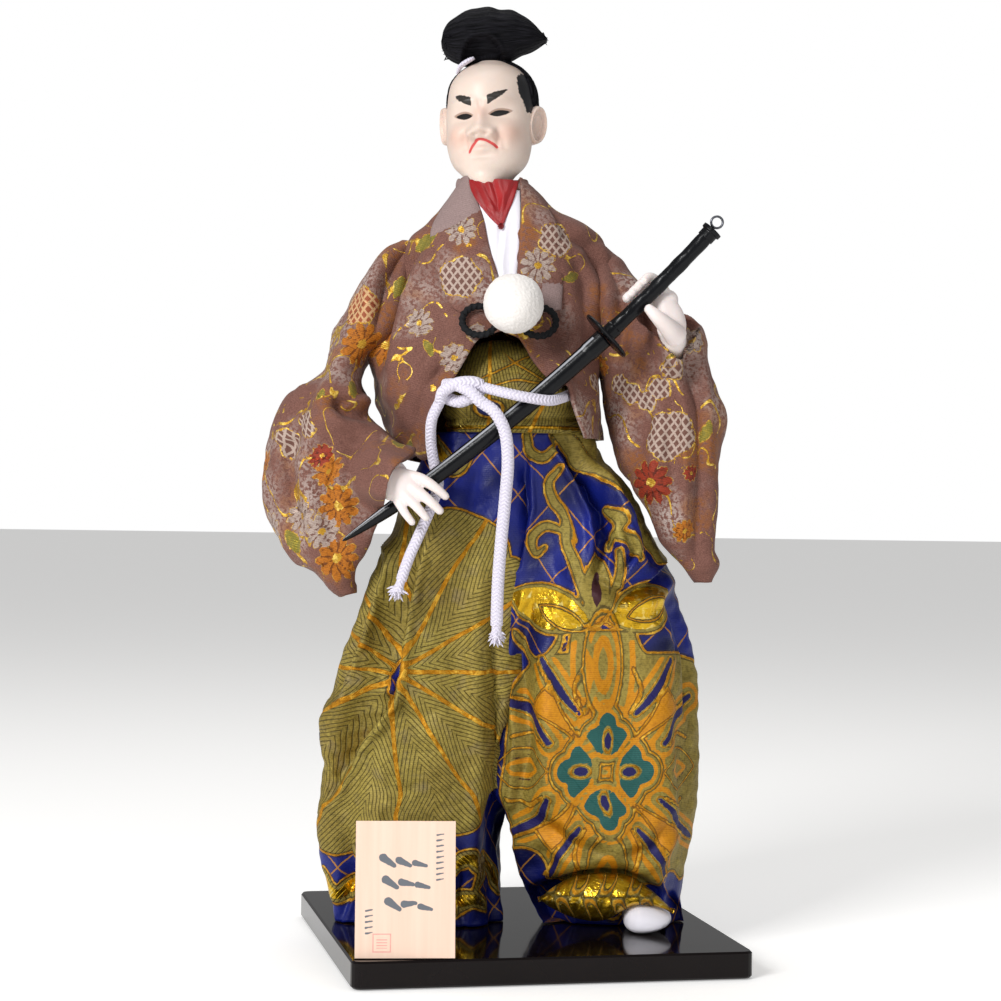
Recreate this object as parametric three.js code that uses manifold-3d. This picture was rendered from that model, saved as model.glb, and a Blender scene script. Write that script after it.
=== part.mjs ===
// A dressed samurai doll standing on a lacquered board, in millimetres, +Z up.
// The origin is the centre of the board's underside, and the board's front edge faces -Y.
// The figure is drawn in its own group, x to its left hand and -y to its front, and then turned.

import * as THREE from 'three';
import { mergeVertices } from 'three/addons/utils/BufferGeometryUtils.js';
import Module from 'manifold-3d';

const wasm = await Module();
wasm.setup();

// Driving dimensions
const boardSide = 120;
const boardHeight = 8;
const boardCornerRadius = 2.5;
const gap = 0.3;
const figureTurn = 12;
const plaqueWidth = 28.8;
const plaqueHeight = 39;
const plaqueThickness = 1.6;
const plaqueLean = 9;
const plaqueTurn = 7;
const crotchHeight = 43;
const waistHeight = 157.5;
const sashHeight = 32;
const neckCentre = [-11, 0];
const headTurn = -12;
const headHeight = 38.2;
const chinHeight = 240;
const swordDepth = -35;
const scabbardRadius = 2.9;
const hiltRadius = 2.8;
const guardRadius = 8.8;
const waistCordRadius = 2.2;
const bowCordRadius = 0.95;
const ballRadius = 9.1;

// Small functions for shapes

function curve(pairs) {
  // A smooth value through [position, value] pairs, flat beyond the ends
  const slope = pairs.map((pair, i) => {
    const before = pairs[Math.max(i - 1, 0)];
    const after = pairs[Math.min(i + 1, pairs.length - 1)];
    return (after[1] - before[1]) / (after[0] - before[0]);
  });
  return (at) => {
    if (at <= pairs[0][0]) return pairs[0][1];
    const last = pairs.length - 1;
    if (at >= pairs[last][0]) return pairs[last][1];
    const i = pairs.findIndex((pair) => pair[0] > at) - 1;
    const span = pairs[i + 1][0] - pairs[i][0];
    const t = (at - pairs[i][0]) / span;
    const rise = t * t * (3 - 2 * t);
    const startBend = t * (1 - t) * (1 - t) * span * slope[i];
    const endBend = t * t * (t - 1) * span * slope[i + 1];
    return pairs[i][1] * (1 - rise) + pairs[i + 1][1] * rise + startBend + endBend;
  };
}

function closedSkin(rings) {
  // A closed body through rings of points, with a flat fan on each end
  const sides = rings[0].length;
  const positions = rings.flat().flatMap((point) => point.toArray());
  const faces = [];
  for (let row = 0; row + 1 < rings.length; row += 1) {
    for (let side = 0; side < sides; side += 1) {
      const next = (side + 1) % sides;
      const a = row * sides + side;
      const b = row * sides + next;
      faces.push(a, b, b + sides, a, b + sides, a + sides);
    }
  }
  const lastRow = (rings.length - 1) * sides;
  for (let side = 1; side + 1 < sides; side += 1) {
    faces.push(0, side + 1, side);
    faces.push(lastRow, lastRow + side, lastRow + side + 1);
  }
  const geometry = new THREE.BufferGeometry();
  geometry.setAttribute('position', new THREE.Float32BufferAttribute(positions, 3));
  geometry.setIndex(faces);
  return geometry;
}

function stack(bottom, top, steps, sides, section) {
  // Level rings from bottom to top: section(z) gives left, right, front, back and its options
  const rings = [];
  for (let step = 0; step <= steps; step += 1) {
    const z = bottom + ((top - bottom) * step) / steps;
    const { left, right, front, back, square = 1, lean = 0, folds = 0, foldCount = 7 } = section(z);
    const ring = [];
    for (let side = 0; side < sides; side += 1) {
      const angle = (2 * Math.PI * side) / sides;
      const c = Math.cos(angle);
      const s = Math.sin(angle);
      const swell = 1 + folds * Math.cos(foldCount * angle);
      const across = ((right - left) / 2) * Math.sign(c) * Math.abs(c) ** square * swell;
      const deep = ((back - front) / 2) * Math.sign(s) * Math.abs(s) ** square * swell;
      ring.push(new THREE.Vector3((left + right) / 2 + across, (front + back) / 2 + deep + lean * across, z));
    }
    rings.push(ring);
  }
  return closedSkin(rings);
}

function limb(points, radii, sides = 6) {
  // A rounded finger or rod: rings square to a smooth line, closed by two smaller rings at each end
  const line = new THREE.CatmullRomCurve3(points.map((point) => new THREE.Vector3(...point)));
  const steps = 2 * (points.length - 1);
  const radiusAt = curve(radii.map((radius, i) => [i / (radii.length - 1), radius]));
  const rings = [];
  const addRing = (t, shift, radius) => {
    const forward = line.getTangentAt(t);
    const up = Math.abs(forward.z) > 0.9 ? new THREE.Vector3(0, 1, 0) : new THREE.Vector3(0, 0, 1);
    const sideways = new THREE.Vector3().crossVectors(forward, up).normalize();
    const upright = new THREE.Vector3().crossVectors(forward, sideways);
    const centre = line.getPointAt(t).addScaledVector(forward, shift);
    const ring = [];
    for (let side = 0; side < sides; side += 1) {
      const angle = (2 * Math.PI * side) / sides;
      ring.push(centre.clone()
        .addScaledVector(sideways, radius * Math.cos(angle))
        .addScaledVector(upright, radius * Math.sin(angle)));
    }
    rings.push(ring);
  };
  const startRadius = radiusAt(0);
  const endRadius = radiusAt(1);
  addRing(0, -startRadius, startRadius * 0.3);
  addRing(0, -startRadius * 0.6, startRadius * 0.8);
  for (let step = 0; step <= steps; step += 1) addRing(step / steps, 0, radiusAt(step / steps));
  addRing(1, endRadius * 0.6, endRadius * 0.8);
  addRing(1, endRadius, endRadius * 0.3);
  return closedSkin(rings);
}

function ball(centre, halfSizes, sides = 16, rows = 10) {
  return new THREE.SphereGeometry(1, sides, rows)
    .rotateX(Math.PI / 2)
    .scale(...halfSizes)
    .translate(...centre);
}

function cordTube(points, radius, steps) {
  const section = new THREE.Shape();
  section.absarc(0, 0, radius, 0, 2 * Math.PI);
  const line = new THREE.CatmullRomCurve3(points.map((point) => new THREE.Vector3(...point)));
  const settings = { extrudePath: line, steps, curveSegments: 4, bevelEnabled: false };
  return new THREE.ExtrudeGeometry(section, settings);
}

function frontPrism(outline, front, back) {
  // An outline of [x, z] points made solid between two depths
  const shape = new THREE.Shape(outline.map(([x, z]) => new THREE.Vector2(x, z)));
  return new THREE.ExtrudeGeometry(shape, { depth: back - front, bevelEnabled: false })
    .rotateX(Math.PI / 2)
    .translate(0, back, 0);
}

// Joining and cutting

function solid(geometry) {
  const bare = geometry.clone();
  bare.deleteAttribute('normal');
  bare.deleteAttribute('uv');
  const merged = mergeVertices(bare, 1e-4);
  return new wasm.Manifold(new wasm.Mesh({
    numProp: 3,
    vertProperties: new Float32Array(merged.attributes.position.array),
    triVerts: new Uint32Array(merged.index.array),
  }));
}

function joined(geometries) {
  return geometries.map(solid).reduce((whole, piece) => whole.add(piece));
}

function largest(cutSolid) {
  return cutSolid.decompose().reduce((best, piece) => (piece.volume() > best.volume() ? piece : best));
}

function geometryOf(cutSolid) {
  const mesh = largest(cutSolid).getMesh();
  const geometry = new THREE.BufferGeometry();
  geometry.setAttribute('position', new THREE.BufferAttribute(mesh.vertProperties, 3));
  geometry.setIndex(new THREE.BufferAttribute(mesh.triVerts, 1));
  return geometry;
}

function piece(name, geometry, color, roughness, metalness = 0) {
  geometry.deleteAttribute('uv');
  geometry.deleteAttribute('normal');
  const material = new THREE.MeshStandardMaterial({ color, roughness, metalness });
  const mesh = new THREE.Mesh(geometry, material);
  mesh.name = name;
  return mesh;
}

// Board and plaque

function boardGeometry() {
  const half = boardSide / 2 - 0.6;
  const radius = boardCornerRadius;
  const outline = new THREE.Shape();
  const corners = [[half, half], [-half, half], [-half, -half], [half, -half]];
  corners.forEach(([x, y], i) => {
    const centreX = x - Math.sign(x) * radius;
    const centreY = y - Math.sign(y) * radius;
    outline.absarc(centreX, centreY, radius, (i * Math.PI) / 2, ((i + 1) * Math.PI) / 2);
  });
  const settings = {
    depth: boardHeight - 1.2, bevelThickness: 0.6, bevelSize: 0.6, bevelSegments: 1, curveSegments: 2,
  };
  return new THREE.ExtrudeGeometry(outline, settings).translate(0, 0, 0.6);
}

function plaqueGeometry() {
  return new THREE.BoxGeometry(plaqueWidth, plaqueThickness, plaqueHeight)
    .translate(0, plaqueThickness / 2, plaqueHeight / 2);
}

// Trousers, foot and sash

const leftHem = curve([[8, -57.5], [15, -59], [24, -62.3], [38, -63.5], [55, -62.5], [75, -59.6],
  [100, -51], [118, -46.4], [132, -37.5], [158, -28.4]]);
const rightHem = curve([[8, 53.2], [18, 51.8], [38, 56], [55, 57], [90, 53.8], [121, 48.5],
  [152, 27.9], [158, 22]]);
const legFront = curve([[8, -19], [45, -24], [100, -24], [135, -23], [158, -19]]);
const legBack = curve([[8, 22], [45, 28], [100, 28], [130, 25], [158, 19]]);

function legGeometry(outer, inner, side, grow) {
  return stack(boardHeight + gap, waistHeight + grow, 10, 22, (z) => ({
    left: (side < 0 ? outer(z) : inner(z)) - grow,
    right: (side < 0 ? inner(z) : outer(z)) + grow,
    front: legFront(z) - grow,
    back: legBack(z) + grow,
    square: 0.8,
    folds: 0.045 * Math.min(1, (waistHeight - z) / 60),
  }));
}

function footGeometry(grow) {
  // A short sock-shoe, flat below and rounded above
  const sole = boardHeight + gap - grow;
  return stack(sole, sole + 8.6 + grow, 4, 16, (z) => {
    const rise = (z - sole) / (8.6 + grow);
    const shrink = Math.sqrt(1 - 0.8 * rise * rise);
    const halfWidth = 7.2 * shrink + grow;
    return { left: 39.5 - halfWidth, right: 39.5 + halfWidth, front: -24.2 - grow + 5 * rise, back: 4, square: 0.8 };
  });
}

function hemArch() {
  // The front hem is lifted over the foot
  return new THREE.CylinderGeometry(1, 1, 30, 20).scale(19, 1, 9.5).translate(31, -21, boardHeight - 0.5);
}

function trousersForm(grow) {
  const innerLeft = curve([[8, -4.9], [26, -4.6], [crotchHeight, -3.4], [crotchHeight + 8, 3], [158, 6]]);
  const innerRight = curve([[8, 9], [18, 4.2], [26, 1.4], [crotchHeight, -2.9], [crotchHeight + 8, -9], [158, -12]]);
  return joined([legGeometry(leftHem, innerLeft, -1, grow), legGeometry(rightHem, innerRight, 1, grow)]);
}

function trousersGeometry() {
  return geometryOf(trousersForm(0).subtract(solid(hemArch())).subtract(solid(footGeometry(gap))));
}

function sashGeometry(grow) {
  // A dome of brocade over the belly, flat below
  const bottom = waistHeight + gap;
  return stack(bottom - grow, bottom + sashHeight + grow, 6, 20, (z) => {
    const rise = (z - bottom + grow) / (sashHeight + 1 + 2 * grow);
    const dome = Math.sqrt(1 - 0.97 * rise ** 2.4);
    const halfWidth = 21.5 * dome + grow;
    const middle = -1.5 - 5 * rise;
    return {
      left: middle - halfWidth, right: middle + halfWidth,
      front: -9 - 17 * dome - grow, back: -9 + 25 * dome + grow, square: 0.85,
    };
  });
}

// Jacket

const jacketLeft = curve([[150, -32], [157, -41], [165, -45], [180, -49], [200, -44], [215, -39], [222, -36],
  [228, -29.5], [235, -23.8], [241, -20.2]]);
const jacketRight = curve([[150, 25], [165, 25.5], [180, 24], [191, 25], [205, 27.5], [215, 27], [222, 24.5],
  [226, 20.5], [231, 10.8], [237, 4.4], [241, -0.6]]);
const jacketFront = curve([[150, -26.5], [170, -29.5], [185, -29], [200, -24.5], [220, -21], [232, -17], [241, -13.5]]);
const jacketBack = curve([[150, 24], [180, 24], [205, 21], [222, 18], [232, 14.5], [241, 12]]);

function jacketForm(grow) {
  return stack(151, 241 + grow, 9, 24, (z) => ({
    left: jacketLeft(z) - grow, right: jacketRight(z) + grow,
    front: jacketFront(z) - grow, back: jacketBack(z) + grow, square: 0.82,
  }));
}

const jacketOpening = [[-13, 189.5], [-1, 189.7], [6.7, 177.6], [16, 170.2], [20.7, 164.2], [24, 158], [24, 145],
  [-29.4, 145], [-26.8, 160], [-25.2, 172.6], [-20.7, 177.2]];

function jacketGeometry() {
  return geometryOf(solid(jacketForm(0))
    .subtract(solid(frontPrism(jacketOpening, -60, -6)))
    .subtract(solid(sashGeometry(2 * gap)))
    .subtract(trousersForm(2 * gap))
    .subtract(solid(neckGeometry(gap))));
}

function drapedStrip(outline, inner, outer) {
  // A strip of cloth with this outline, lying on the chest between two distances from it
  const shell = solid(jacketForm(outer)).subtract(solid(jacketForm(inner)));
  return geometryOf(shell.intersect(solid(frontPrism(outline, -60, 2))).subtract(solid(neckGeometry(gap))));
}

const leftLapel = [[-19, 240], [-24, 234], [-29, 223.2], [-27.5, 212], [-24, 203], [-20.5, 198.6], [-13.5, 196.5],
  [-11, 206.7], [-14.6, 220.3], [-17.8, 231], [-18, 240]];
const rightLapel = [[-1, 240], [3.4, 237], [8, 229.5], [11, 221.6], [12, 210], [11.4, 199], [3, 196.5], [-1.9, 206.7],
  [-1.2, 229.7], [-1.8, 240]];
const whiteCollar = [[-17.4, 236], [-17.4, 231], [-14.2, 220.3], [-10.6, 207], [-10, 203], [-2.3, 203], [-2.2, 206.7],
  [-1.6, 229.7], [-2.4, 236], [-4.6, 229.5], [-7.4, 224.6], [-11, 226.5]];
const redCollar = [[-18, 240.6], [-16.9, 236.2], [-11.2, 226.9], [-7.4, 225], [-4.9, 229.9], [-2.8, 236.2], [-2.2, 240.6]];

// Sleeves

function sleeveGeometry(outer, inner, middleDepth, halfDepth, lean, bottom, top) {
  const form = stack(bottom, top, 12, 16, (z) => ({
    left: Math.min(outer(z), inner(z)), right: Math.max(outer(z), inner(z)),
    front: middleDepth(z) - halfDepth(z), back: middleDepth(z) + halfDepth(z),
    lean: lean(z), square: 0.85, folds: 0.03, foldCount: 5,
  }));
  return geometryOf(solid(form)
    .subtract(solid(jacketForm(gap)))
    .subtract(trousersForm(gap))
    .subtract(solid(rightHandArm(gap)))
    .subtract(solid(leftHandArm(gap))));
}

function rightSleeve() {
  const outer = curve([[111, -55], [113, -60], [116.5, -65], [119.5, -70.8], [130, -78.4], [147, -81.6], [157, -80.5],
    [165, -76.2], [173.7, -70], [180, -62.6], [192, -60.2], [200, -56.3], [208, -51.6], [216, -45.5], [222, -38]]);
  const inner = curve([[111, -51], [118.4, -50.2], [126, -45.1], [139, -40.6], [147, -39.2], [155.4, -34.6],
    [158.5, -38.5], [165, -46], [180, -47.5], [192, -40], [222, -32]]);
  const middleDepth = curve([[111, -16], [147, -17], [170, -9], [190, 0], [222, 1]]);
  const halfDepth = curve([[111, 3], [116, 6.5], [130, 9], [150, 12], [175, 16], [200, 15], [215, 11], [222, 6]]);
  const lean = curve([[111, -0.2], [150, -0.42], [170, -0.3], [190, 0], [222, 0]]);
  return sleeveGeometry(outer, inner, middleDepth, halfDepth, lean, 111, 221.5);
}

function leftSleeve() {
  const outer = curve([[116, 59.5], [121.5, 61.2], [126, 59.6], [144, 59.9], [153, 60.3], [166, 62.7], [176.7, 60],
    [184, 58.2], [190, 57.8], [194.5, 55.5], [198, 51.5], [203, 42], [211, 34.5], [217, 30], [222, 24]]);
  const inner = curve([[116, 55], [118.3, 52], [126, 44], [137, 37.6], [146, 31.1], [151, 28.2], [159, 27.2],
    [171, 25], [180, 24], [192, 20], [222, 18]]);
  const middleDepth = curve([[116, -10], [150, -9], [180, -6], [198, -3], [222, 1]]);
  const halfDepth = curve([[116, 3], [122, 7], [140, 12], [165, 15], [190, 16], [205, 14], [222, 6]]);
  const lean = curve([[116, -0.1], [150, -0.2], [190, -0.3], [205, -0.1], [222, 0]]);
  return sleeveGeometry(outer, inner, middleDepth, halfDepth, lean, 116, 221.5);
}

// Head, hair and hands

const faceWidth = curve([[0, 6], [0.07, 8.9], [0.13, 10.9], [0.22, 12.4], [0.4, 13.5], [0.6, 13.9], [0.8, 12.8],
  [0.935, 8.9], [1, 4]]);
const faceFront = curve([[0, -11.4], [0.07, -14], [0.2, -14.9], [0.6, -15.2], [0.8, -13.6], [0.93, -9], [1, -4]]);
const headBack = curve([[0, 3], [0.07, 5], [0.2, 9], [0.5, 14.4], [0.75, 14.2], [0.93, 9.6], [1, 4]]);

function headForm(grow, steps = 10, sides = 18) {
  // An egg with a narrow chin, and a nose that stands out of the middle of the face
  const geometry = stack(-grow, headHeight + grow, steps, sides, (z) => {
    const rise = z / headHeight;
    const halfWidth = faceWidth(rise) + grow;
    return { left: -halfWidth, right: halfWidth, front: faceFront(rise) - grow, back: headBack(rise) + grow };
  });
  const position = geometry.attributes.position;
  for (let i = 0; i < position.count; i += 1) {
    const rise = position.getZ(i) / headHeight;
    const isFront = position.getY(i) < -10 ? 1 : 0;
    const nose = Math.exp(-((position.getX(i) / 2.2) ** 2)) * Math.exp(-(((rise - 0.33) / 0.1) ** 2));
    position.setY(i, position.getY(i) - 1.9 * nose * isFront);
  }
  return geometry
    .rotateZ(THREE.MathUtils.degToRad(headTurn))
    .translate(...neckCentre, chinHeight);
}

function neckGeometry(grow) {
  // The neck and chin together, as the space that the collars leave
  const neck = stack(228 - grow, 250, 5, 20, (z) => ({
    left: -18 - grow, right: -4 + grow, front: -7.4 - grow, back: 7 + grow,
  }));
  return geometryOf(joined([neck, headForm(grow)]));
}

function headGeometry() {
  const ears = [-1, 1].map((side) => ball([0, 0, 0], [1.9, 3.2, 6.2], 8, 5)
    .rotateY(side * 0.16)
    .translate(neckCentre[0] + 0.4 + side * 14.9, 1.5, chinHeight + 17));
  return geometryOf(joined([neckGeometry(0), ...ears]));
}

function hairGeometry() {
  // Hair combed up the back of the head, with its edge showing at both temples
  const cap = solid(headForm(2.2, 7, 12)).subtract(solid(headForm(gap)));
  const backHalf = new THREE.BoxGeometry(60, 40, 80)
    .rotateX(-0.35)
    .translate(neckCentre[0], 21.5, chinHeight + 22);
  const aboveCollar = new THREE.BoxGeometry(60, 60, 60).translate(neckCentre[0], 0, chinHeight + 3 + 30);
  return geometryOf(cap.intersect(solid(backHalf)).intersect(solid(aboveCollar)).subtract(solid(headGeometry())));
}

function topknotGeometry() {
  // A folded bun of fibre, bound at its root, with its blunt end to the figure's left
  const base = 279.4;
  const height = 17;
  const bun = stack(base, base + height, 7, 16, (z) => {
    const rise = (z - base) / height;
    const round = Math.sqrt(Math.max(0.05, 1 - (2 * rise - 1) ** 2));
    return {
      left: -11 - 15.5 * round ** 0.8, right: -11 + 17 * round ** 1.2,
      front: -1 - 8 * round, back: 3 + 9 * round, square: 0.9,
    };
  });
  const root = new THREE.CylinderGeometry(4.2, 4.6, 12, 12).rotateX(Math.PI / 2).translate(-10.5, 3.5, 280);
  return geometryOf(joined([bun, root])
    .subtract(solid(headForm(2.2 + 2 * gap, 7, 12)))
    .subtract(solid(headForm(2 * gap))));
}

const rightKnuckles = [[-29.5, -40.5, 146.2], [-31.8, -41.2, 143], [-33.8, -41.2, 140.6], [-36.1, -40.6, 138.6]];
const rightFingertips = [[-23.4, -42, 140.8], [-24.4, -42.4, 136.6], [-27.6, -42.2, 134], [-31.9, -41.6, 132.6]];
const fingerRadii = [1.55, 1.55, 1.4, 1.25];

function rightHandArm(grow) {
  const fingers = rightKnuckles.map((knuckle, i) => {
    const tip = rightFingertips[i];
    const bend = knuckle.map((value, axis) => (value + tip[axis]) / 2 - (axis === 1 ? 0.8 : 0));
    return limb([knuckle, bend, tip], [fingerRadii[i] + grow, fingerRadii[i] + grow, fingerRadii[i] - 0.2 + grow]);
  });
  const palm = ball([0, 0, 0], [6.4 + grow, 2.3 + grow, 5.6 + grow], 8, 6).rotateY(0.7).translate(-34.6, -40.8, 143.6);
  const wrist = limb([[-36, -40.4, 145], [-43, -33, 147.5], [-50, -24, 151]], [4.2 + grow, 3.8 + grow, 4 + grow]);
  return geometryOf(joined([...fingers, palm, wrist])
    .subtract(solid(swordRod(0, swordLength, () => scabbardRadius + gap))));
}

function leftHandArm(grow) {
  const fist = ball([0, 0, 0], [5.6 + grow, 4.5 + grow, 8 + grow], 8, 6).rotateY(-0.55).translate(42.9, -31, 196.4);
  const knuckles = ball([0, 0, 0], [4.6 + grow, 3.2 + grow, 5.8 + grow], 8, 6).rotateY(0.85).translate(35, -31.6, 204);
  const thumb = limb([[45.4, -35, 191], [41, -39.2, 195], [36.5, -39.6, 198.6]], [2.6 + grow, 2 + grow, 1.5 + grow]);
  const wrist = limb([[44.6, -31.5, 193], [47, -28, 187.5], [48, -22, 180.5]], [4.4 + grow, 3.9 + grow, 4 + grow]);
  return geometryOf(joined([fist, knuckles, thumb, wrist])
    .subtract(solid(swordRod(0, swordLength, () => hiltRadius + gap))));
}

// Sword

const swordTip = [-53.3, 127.2];
const swordRise = THREE.MathUtils.degToRad(34);
const swordBend = 600;
const scabbardLength = 100.3;
const swordLength = 145.6;

function swordPlace(along) {
  // A point of the sword's curved line, which rises more and more steeply from its tip, and its heading there
  const heading = swordRise + along / swordBend;
  return {
    x: swordTip[0] + swordBend * (Math.sin(heading) - Math.sin(swordRise)),
    z: swordTip[1] + swordBend * (Math.cos(swordRise) - Math.cos(heading)),
    heading,
  };
}

function onSword(geometry, along) {
  // Moves a geometry that lies along X round the origin to its place on the sword
  const { x, z, heading } = swordPlace(along);
  return geometry.rotateY(-heading).translate(x, swordDepth, z);
}

function swordRod(start, end, radiusAt, steps = 8) {
  // An oval rod lying along the sword's line, flatter from front to back
  const rings = [];
  for (let step = 0; step <= steps; step += 1) {
    const { x, z, heading } = swordPlace(start + ((end - start) * step) / steps);
    const radius = radiusAt(step / steps);
    const ring = [];
    for (let side = 0; side < 12; side += 1) {
      const angle = (2 * Math.PI * side) / 12;
      const up = radius * Math.sin(angle);
      const forward = 0.85 * radius * Math.cos(angle);
      ring.push(new THREE.Vector3(x - up * Math.sin(heading), swordDepth + forward, z + up * Math.cos(heading)));
    }
    rings.push(ring);
  }
  return closedSkin(rings);
}

function scabbardGeometry() {
  return swordRod(0, scabbardLength - 0.9, (t) => scabbardRadius * Math.min(1, 0.55 + 3 * t) * (0.86 + 0.14 * t), 6);
}

function guardGeometry() {
  return onSword(new THREE.CylinderGeometry(guardRadius, guardRadius, 1.2, 20).rotateZ(Math.PI / 2), scabbardLength);
}

function hiltGeometry() {
  const start = scabbardLength + 0.9;
  const grip = swordRod(start, swordLength - 3.2, () => hiltRadius, 3);
  const cap = swordRod(swordLength - 3.4, swordLength, (t) => hiltRadius + 0.9 - t * t, 2);
  return geometryOf(joined([grip, cap]));
}

function pommelRingGeometry() {
  return onSword(new THREE.TorusGeometry(1.75, 0.35, 5, 10).rotateX(Math.PI / 2).translate(0, 0, 0.6), swordLength + 2.42);
}

// Cords and ball

const waistCordPath = [[-12.6, -37.5, 174], [-6, -40.6, 172.3], [1, -41, 170.6], [9, -38.4, 169.7], [15, -34.4, 171.5],
  [17.5, -32.4, 173]];
const longEndPath = [[-12.6, -39.4, 169.5], [-8, -41.5, 166], [-5, -41.8, 160], [-4.1, -40.5, 151.5], [-4.6, -38.6, 142],
  [-5.7, -37.6, 128], [-6.5, -37, 114], [-6.7, -36.8, 98]];
const shortEndPath = [[-24.6, -33.4, 170], [-27.2, -32, 164], [-27.4, -29.6, 157], [-26.2, -29, 150], [-25, -30.6, 144.5],
  [-27, -34.4, 137.5], [-30.5, -36.6, 129], [-33.6, -36.8, 121.5], [-36.8, -36.8, 111.4]];

function bowLoop(side) {
  // One loop of the bow: it leaves the ball's back, runs round and comes back in below
  const middle = [-4.4 + side * 9, 194.4];
  const points = [];
  for (let step = 0; step <= 8; step += 1) {
    const angle = 0.5 + (step / 8) * (2 * Math.PI - 1);
    const x = middle[0] - side * 5.2 * Math.cos(angle);
    const z = middle[1] + 4.5 * Math.sin(angle);
    points.push([x, jacketFront(z) - 3.6, z]);
  }
  return cordTube(points, bowCordRadius, 12);
}

// Assembly

const porcelain = 0xe9d9cc;
const brocade = 0x7a5048;
const whiteCord = 0xe7e1ee;
const blackGloss = 0x14151a;

const figure = new THREE.Group();
figure.rotation.z = THREE.MathUtils.degToRad(-figureTurn);
figure.add(
  piece('hakama_trousers', trousersGeometry(), 0x1b2a7a, 0.6),
  piece('left_foot', footGeometry(0), 0xf2efe8, 0.7),
  piece('waist_sash', sashGeometry(0), 0x8c8a3c, 0.6),
  piece('jacket', jacketGeometry(), brocade, 0.7),
  piece('right_lapel', drapedStrip(leftLapel, gap, 1.6), 0x9b8583, 0.7),
  piece('left_lapel', drapedStrip(rightLapel, gap, 1.6), brocade, 0.7),
  piece('white_collar', drapedStrip(whiteCollar, gap, 1.5), 0xf4f0fa, 0.7),
  piece('red_collar', drapedStrip(redCollar, gap, 1.4), 0xc8161d, 0.35),
  piece('right_sleeve', rightSleeve(), brocade, 0.7),
  piece('left_sleeve', leftSleeve(), brocade, 0.7),
  piece('head', headGeometry(), porcelain, 0.35),
  piece('back_hair', hairGeometry(), 0x15151a, 0.5),
  piece('topknot', topknotGeometry(), 0x15151a, 0.5),
  piece('right_hand', rightHandArm(0), porcelain, 0.35),
  piece('left_hand', leftHandArm(0), porcelain, 0.35),
  piece('scabbard', scabbardGeometry(), blackGloss, 0.15),
  piece('sword_guard', guardGeometry(), blackGloss, 0.2),
  piece('sword_hilt', hiltGeometry(), blackGloss, 0.3),
  piece('pommel_ring', pommelRingGeometry(), 0x8a8c92, 0.3, 1),
  piece('cord_knot', ball([-18.6, -35.6, 172.4], [5.8, 3.4, 3.4], 12, 8), whiteCord, 0.8),
  piece('waist_cord', cordTube(waistCordPath, waistCordRadius, 10), whiteCord, 0.8),
  piece('long_cord_end', cordTube(longEndPath, waistCordRadius, 12), whiteCord, 0.8),
  piece('short_cord_end', cordTube(shortEndPath, waistCordRadius - 0.5, 12), whiteCord, 0.8),
  piece('breast_ball', ball([-3.1, -38.6, 198.9], [ballRadius, ballRadius, ballRadius], 14, 9), 0xf1ede8, 0.9),
  piece('bow_loop_right', bowLoop(-1), 0x17181b, 0.6),
  piece('bow_loop_left', bowLoop(1), 0x17181b, 0.6),
);

const plaque = piece('name_plaque', plaqueGeometry(), 0xfbdcc6, 0.6);
plaque.position.set(-44.4, -57.6, boardHeight + gap);
plaque.rotation.order = 'ZYX';
plaque.rotation.x = THREE.MathUtils.degToRad(-plaqueLean);
plaque.rotation.z = THREE.MathUtils.degToRad(-plaqueTurn);

const doll = new THREE.Group();
doll.add(piece('base_board', boardGeometry(), 0x1e1718, 0.08), plaque, figure);

export default doll;
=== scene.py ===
# Looks of a dressed samurai doll on a lacquered board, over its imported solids.
# The figure is drawn in millimetres in its own axes, x to the viewer's right and y away from the viewer,
# and placed() turns it on the board and makes it metres. Pieces, hands, lapels and sleeves are named for
# the doll's own right and left, legs and edges for the viewer's.
import ast
import math
import bpy
import numpy as np
from mathutils import Matrix, Vector


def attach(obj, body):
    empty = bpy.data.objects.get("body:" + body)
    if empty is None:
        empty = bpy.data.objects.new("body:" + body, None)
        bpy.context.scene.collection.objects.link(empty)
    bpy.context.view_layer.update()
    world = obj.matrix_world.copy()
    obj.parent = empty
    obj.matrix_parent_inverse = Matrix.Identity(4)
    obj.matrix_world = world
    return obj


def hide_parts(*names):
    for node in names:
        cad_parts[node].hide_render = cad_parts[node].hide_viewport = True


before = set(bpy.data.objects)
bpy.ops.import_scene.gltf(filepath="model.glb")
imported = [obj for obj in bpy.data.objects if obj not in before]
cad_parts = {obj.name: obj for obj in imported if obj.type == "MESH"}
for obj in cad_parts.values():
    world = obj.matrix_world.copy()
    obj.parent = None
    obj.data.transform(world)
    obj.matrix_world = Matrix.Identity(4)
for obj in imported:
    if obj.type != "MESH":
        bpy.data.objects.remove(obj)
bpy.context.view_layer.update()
scene = bpy.context.scene
scene.view_settings.view_transform = "Standard"
figureTurn = math.radians(12)
farOff = 20.0  # millimetres: the value of a distance that isn't near anything


# Small functions for shapes

def placed(points):  # figure millimetres turned about Z by figureTurn, as metres
    p = np.asarray(points, float)
    c, s = math.cos(figureTurn), math.sin(figureTurn)
    return np.stack([p[..., 0] * c + p[..., 1] * s, p[..., 1] * c - p[..., 0] * s, p[..., 2]], -1) / 1000


def through(pairs, at):  # smooth value through (position, value) pairs, level beyond the ends
    x, y = np.array(pairs, float).T
    before = np.maximum(np.arange(len(x)) - 1, 0)
    after = np.minimum(np.arange(len(x)) + 1, len(x) - 1)
    slope = (y[after] - y[before]) / (x[after] - x[before])
    at = np.clip(at, x[0], x[-1])
    i = np.clip(np.searchsorted(x, at, side="right") - 1, 0, len(x) - 2)
    span = x[i + 1] - x[i]
    t = (at - x[i]) / span
    rise = t * t * (3 - 2 * t)
    bend = t * (1 - t) ** 2 * span * slope[i] + t * t * (t - 1) * span * slope[i + 1]
    return y[i] * (1 - rise) + y[i + 1] * rise + bend


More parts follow.
